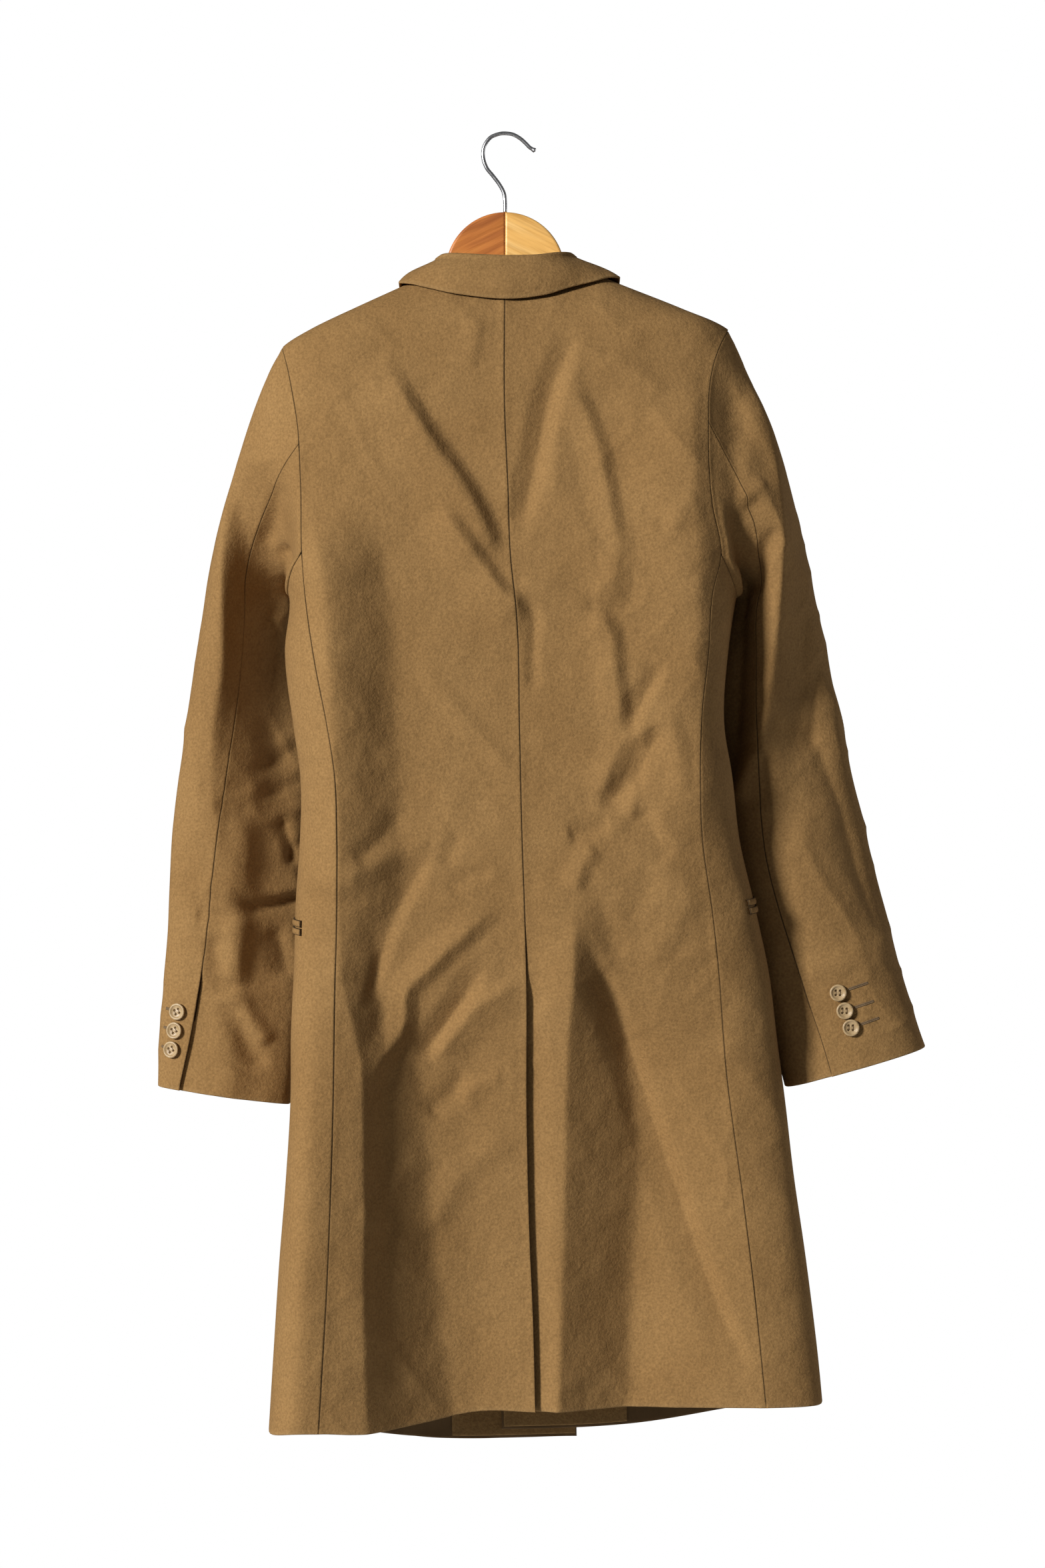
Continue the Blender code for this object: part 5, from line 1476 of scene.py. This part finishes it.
def lining_material():
    """Smooth brown lining with a fine twill."""
    made, tree, shader = new_material("twill_lining")
    mottle = noise(tree, 30, 3)
    twill = noise(tree, 700, 1, (1, 1, 0.25))
    colour = graded(tree, mottle, (0.3, (0.125, 0.072, 0.029)), (0.7, (0.155, 0.090, 0.037)))
    tree.links.new(colour, shader.inputs["Base Color"])
    tree.links.new(ranged(tree, twill, 0.52, 0.72), shader.inputs["Roughness"])
    shader.inputs["Specular IOR Level"].default_value = 0.12
    bumped(tree, shader, ((twill, 1.0),), 0.25, 0.0003)
    return made


def plain_material(name, texture, stops, roughness, bump):
    """A material whose colour, roughness and bumps all follow one noise."""
    made, tree, shader = new_material(name)
    grain = noise(tree, *texture)
    tree.links.new(graded(tree, grain, *stops), shader.inputs["Base Color"])
    tree.links.new(ranged(tree, grain, *roughness), shader.inputs["Roughness"])
    bumped(tree, shader, ((grain, 1.0),), *bump)
    return made, shader


def resin_material():
    """Tan button resin with soft clouds."""
    stops = (0.3, (0.34, 0.225, 0.105)), (0.75, (0.48, 0.34, 0.18))
    return plain_material("button_resin", (260, 4), stops, (0.32, 0.46), (0.08, 0.0003))[0]


def thread_material():
    """Twisted sewing thread."""
    stops = (0.3, (0.10, 0.060, 0.026)), (0.7, (0.21, 0.130, 0.060))
    return plain_material("sewing_thread", (2600, 2), stops, (0.6, 0.85), (0.5, 0.0003))[0]


def steel_material():
    """Bright wire with faint drawing marks."""
    stops = (0.3, (0.55, 0.55, 0.56)), (0.7, (0.78, 0.78, 0.79))
    made, shader = plain_material("bright_wire", (900, 2, (1, 1, 0.2)), stops, (0.24, 0.34), (0.02, 0.0001))
    shader.inputs["Metallic"].default_value = 1.0
    return made


def wood_material(name, tilt, dark, middle, light):
    """Varnished wood with long grain down the arm."""
    made, tree, shader = new_material(name)
    grain = noise(tree, 60, 6, (0.14, 1, 1.3), tilt)
    streak = noise(tree, 420, 3, (0.05, 1, 1), tilt)
    colour = graded(tree, grain, (0.3, dark), (0.5, middle), (0.72, light))
    fine = graded(tree, streak, (0.32, (0.80, 0.76, 0.70)), (0.6, (1.06, 1.06, 1.06)))
    colour = mixed(tree, "MULTIPLY", 1.0, colour, fine)
    tree.links.new(colour, shader.inputs["Base Color"])
    tree.links.new(ranged(tree, streak, 0.30, 0.48), shader.inputs["Roughness"])
    shader.inputs["Coat Weight"].default_value = 0.25
    shader.inputs["Coat Roughness"].default_value = 0.2
    bumped(tree, shader, ((streak, 0.7), (grain, 0.5)), 0.18, 0.0004)
    return made


# Studio

def floor_material():
    made, tree, shader = new_material("pale_floor")
    grain = noise(tree, 40, 3)
    tree.links.new(graded(tree, grain, (0.3, (0.78, 0.78, 0.78)), (0.7, (0.84, 0.84, 0.84))),
                   shader.inputs["Base Color"])
    shader.inputs["Roughness"].default_value = 0.8
    return made


def backdrop_material():
    made = bpy.data.materials.new("white_backdrop")
    made.use_nodes = True
    tree = made.node_tree
    tree.nodes.clear()
    glow = node(tree, "ShaderNodeEmission", Strength=1.0)
    glow.inputs["Color"].default_value = (1, 1, 1, 1)
    out = node(tree, "ShaderNodeOutputMaterial")
    tree.links.new(glow.outputs[0], out.inputs["Surface"])
    return made


def staged(name, shaped, look):
    mesh = bpy.data.meshes.new(name)
    shaped.to_mesh(mesh)
    shaped.free()
    mesh.materials.append(look)
    mesh.shade_smooth()
    made = bpy.data.objects.new(name, mesh)
    bpy.context.scene.collection.objects.link(made)
    return made


def lamp(name, place, size, power):
    made = bpy.data.objects.new(name, bpy.data.lights.new(name, "AREA"))
    made.data.energy = power
    made.data.size = size
    made.location = place
    aim = Vector((0, 0, -0.6)) - made.location
    made.rotation_euler = aim.to_track_quat("-Z", "Y").to_euler()
    bpy.context.scene.collection.objects.link(made)


def studio():
    """Camera, a key light from the left, a weaker one from the right, a pale floor and a white surround."""
    scene = bpy.context.scene
    camera = bpy.data.objects.new("camera", bpy.data.cameras.new("camera"))
    camera.data.lens = CAMERA_LENS
    camera.data.sensor_width = 36
    camera.location = CAMERA_PLACE
    camera.rotation_euler = (radians(90), 0, 0)
    scene.collection.objects.link(camera)
    scene.camera = camera
    lamp("key", KEY_PLACE, KEY_SIZE, KEY_POWER)
    lamp("side", SIDE_PLACE, SIDE_SIZE, SIDE_POWER)
    world = bpy.data.worlds.new("studio")
    world.use_nodes = True
    world.node_tree.nodes["Background"].inputs["Color"].default_value = (1, 1, 1, 1)
    world.node_tree.nodes["Background"].inputs["Strength"].default_value = FILL_LIGHT
    scene.world = world
    floor = bmesh.new()
    bmesh.ops.create_circle(floor, cap_ends=True, segments=96, radius=2.0,
                            matrix=Matrix.Translation((0, 0, FLOOR_HEIGHT)))
    staged("floor", floor, floor_material())
    dome = bmesh.new()
    bmesh.ops.create_uvsphere(dome, u_segments=64, v_segments=32, radius=DOME_RADIUS)
    surround = staged("surround", dome, backdrop_material())
    surround.visible_diffuse = False
    surround.visible_glossy = False
    surround.visible_transmission = False
    surround.visible_shadow = False
    scene.view_settings.view_transform = "Standard"


def coat():
    wool = cloth_material()
    lined, faced = (wool, lining_material()), (wool, wool)
    thread = thread_material()
    resin = resin_material()
    for side, word in WORDS.items():
        cloth(f"back_{word}", back_panel(side), lined, ("start",))
        jets = [
            jet(f"jet_{word}_upper", side, JET_GAP / 2, JET_GAP / 2 + JET_HEIGHT, faced),
            jet(f"jet_{word}_lower", side, -JET_GAP / 2 - JET_HEIGHT, -JET_GAP / 2, faced),
        ]
        cloth(f"side_{word}", side_panel(side), lined, ("start",))
        cloth(f"front_{word}", front_panel(side), lined, ("start", "first"))
        cloth(f"facing_{word}", facing(side), faced, ("start", "end", "first", "last"), FACING_WALL)
        cloth(f"lapel_{word}", lapel(side), faced, ("start", "end", "last"))
        cloth(f"sleeve_{word}_upper", sleeve_panel(side, True), lined, ("end",))
        cloth(f"sleeve_{word}_under", sleeve_panel(side, False), lined, ("end",))
        cuff_trim(side, (resin, thread), thread)
    front_trim((resin, thread), thread)
    collar(faced)


def hanger():
    hanger_half("hanger_left", LEFT, wood_material(
        "red_wood", LEFT * WOOD_TILT, (0.34, 0.094, 0.019), (0.58, 0.195, 0.039), (0.74, 0.30, 0.066)))
    hanger_half("hanger_right", RIGHT, wood_material(
        "honey_wood", RIGHT * WOOD_TILT, (0.62, 0.30, 0.070), (0.87, 0.485, 0.132), (0.95, 0.60, 0.22)))
    hook(steel_material())


studio()
coat()
hanger()
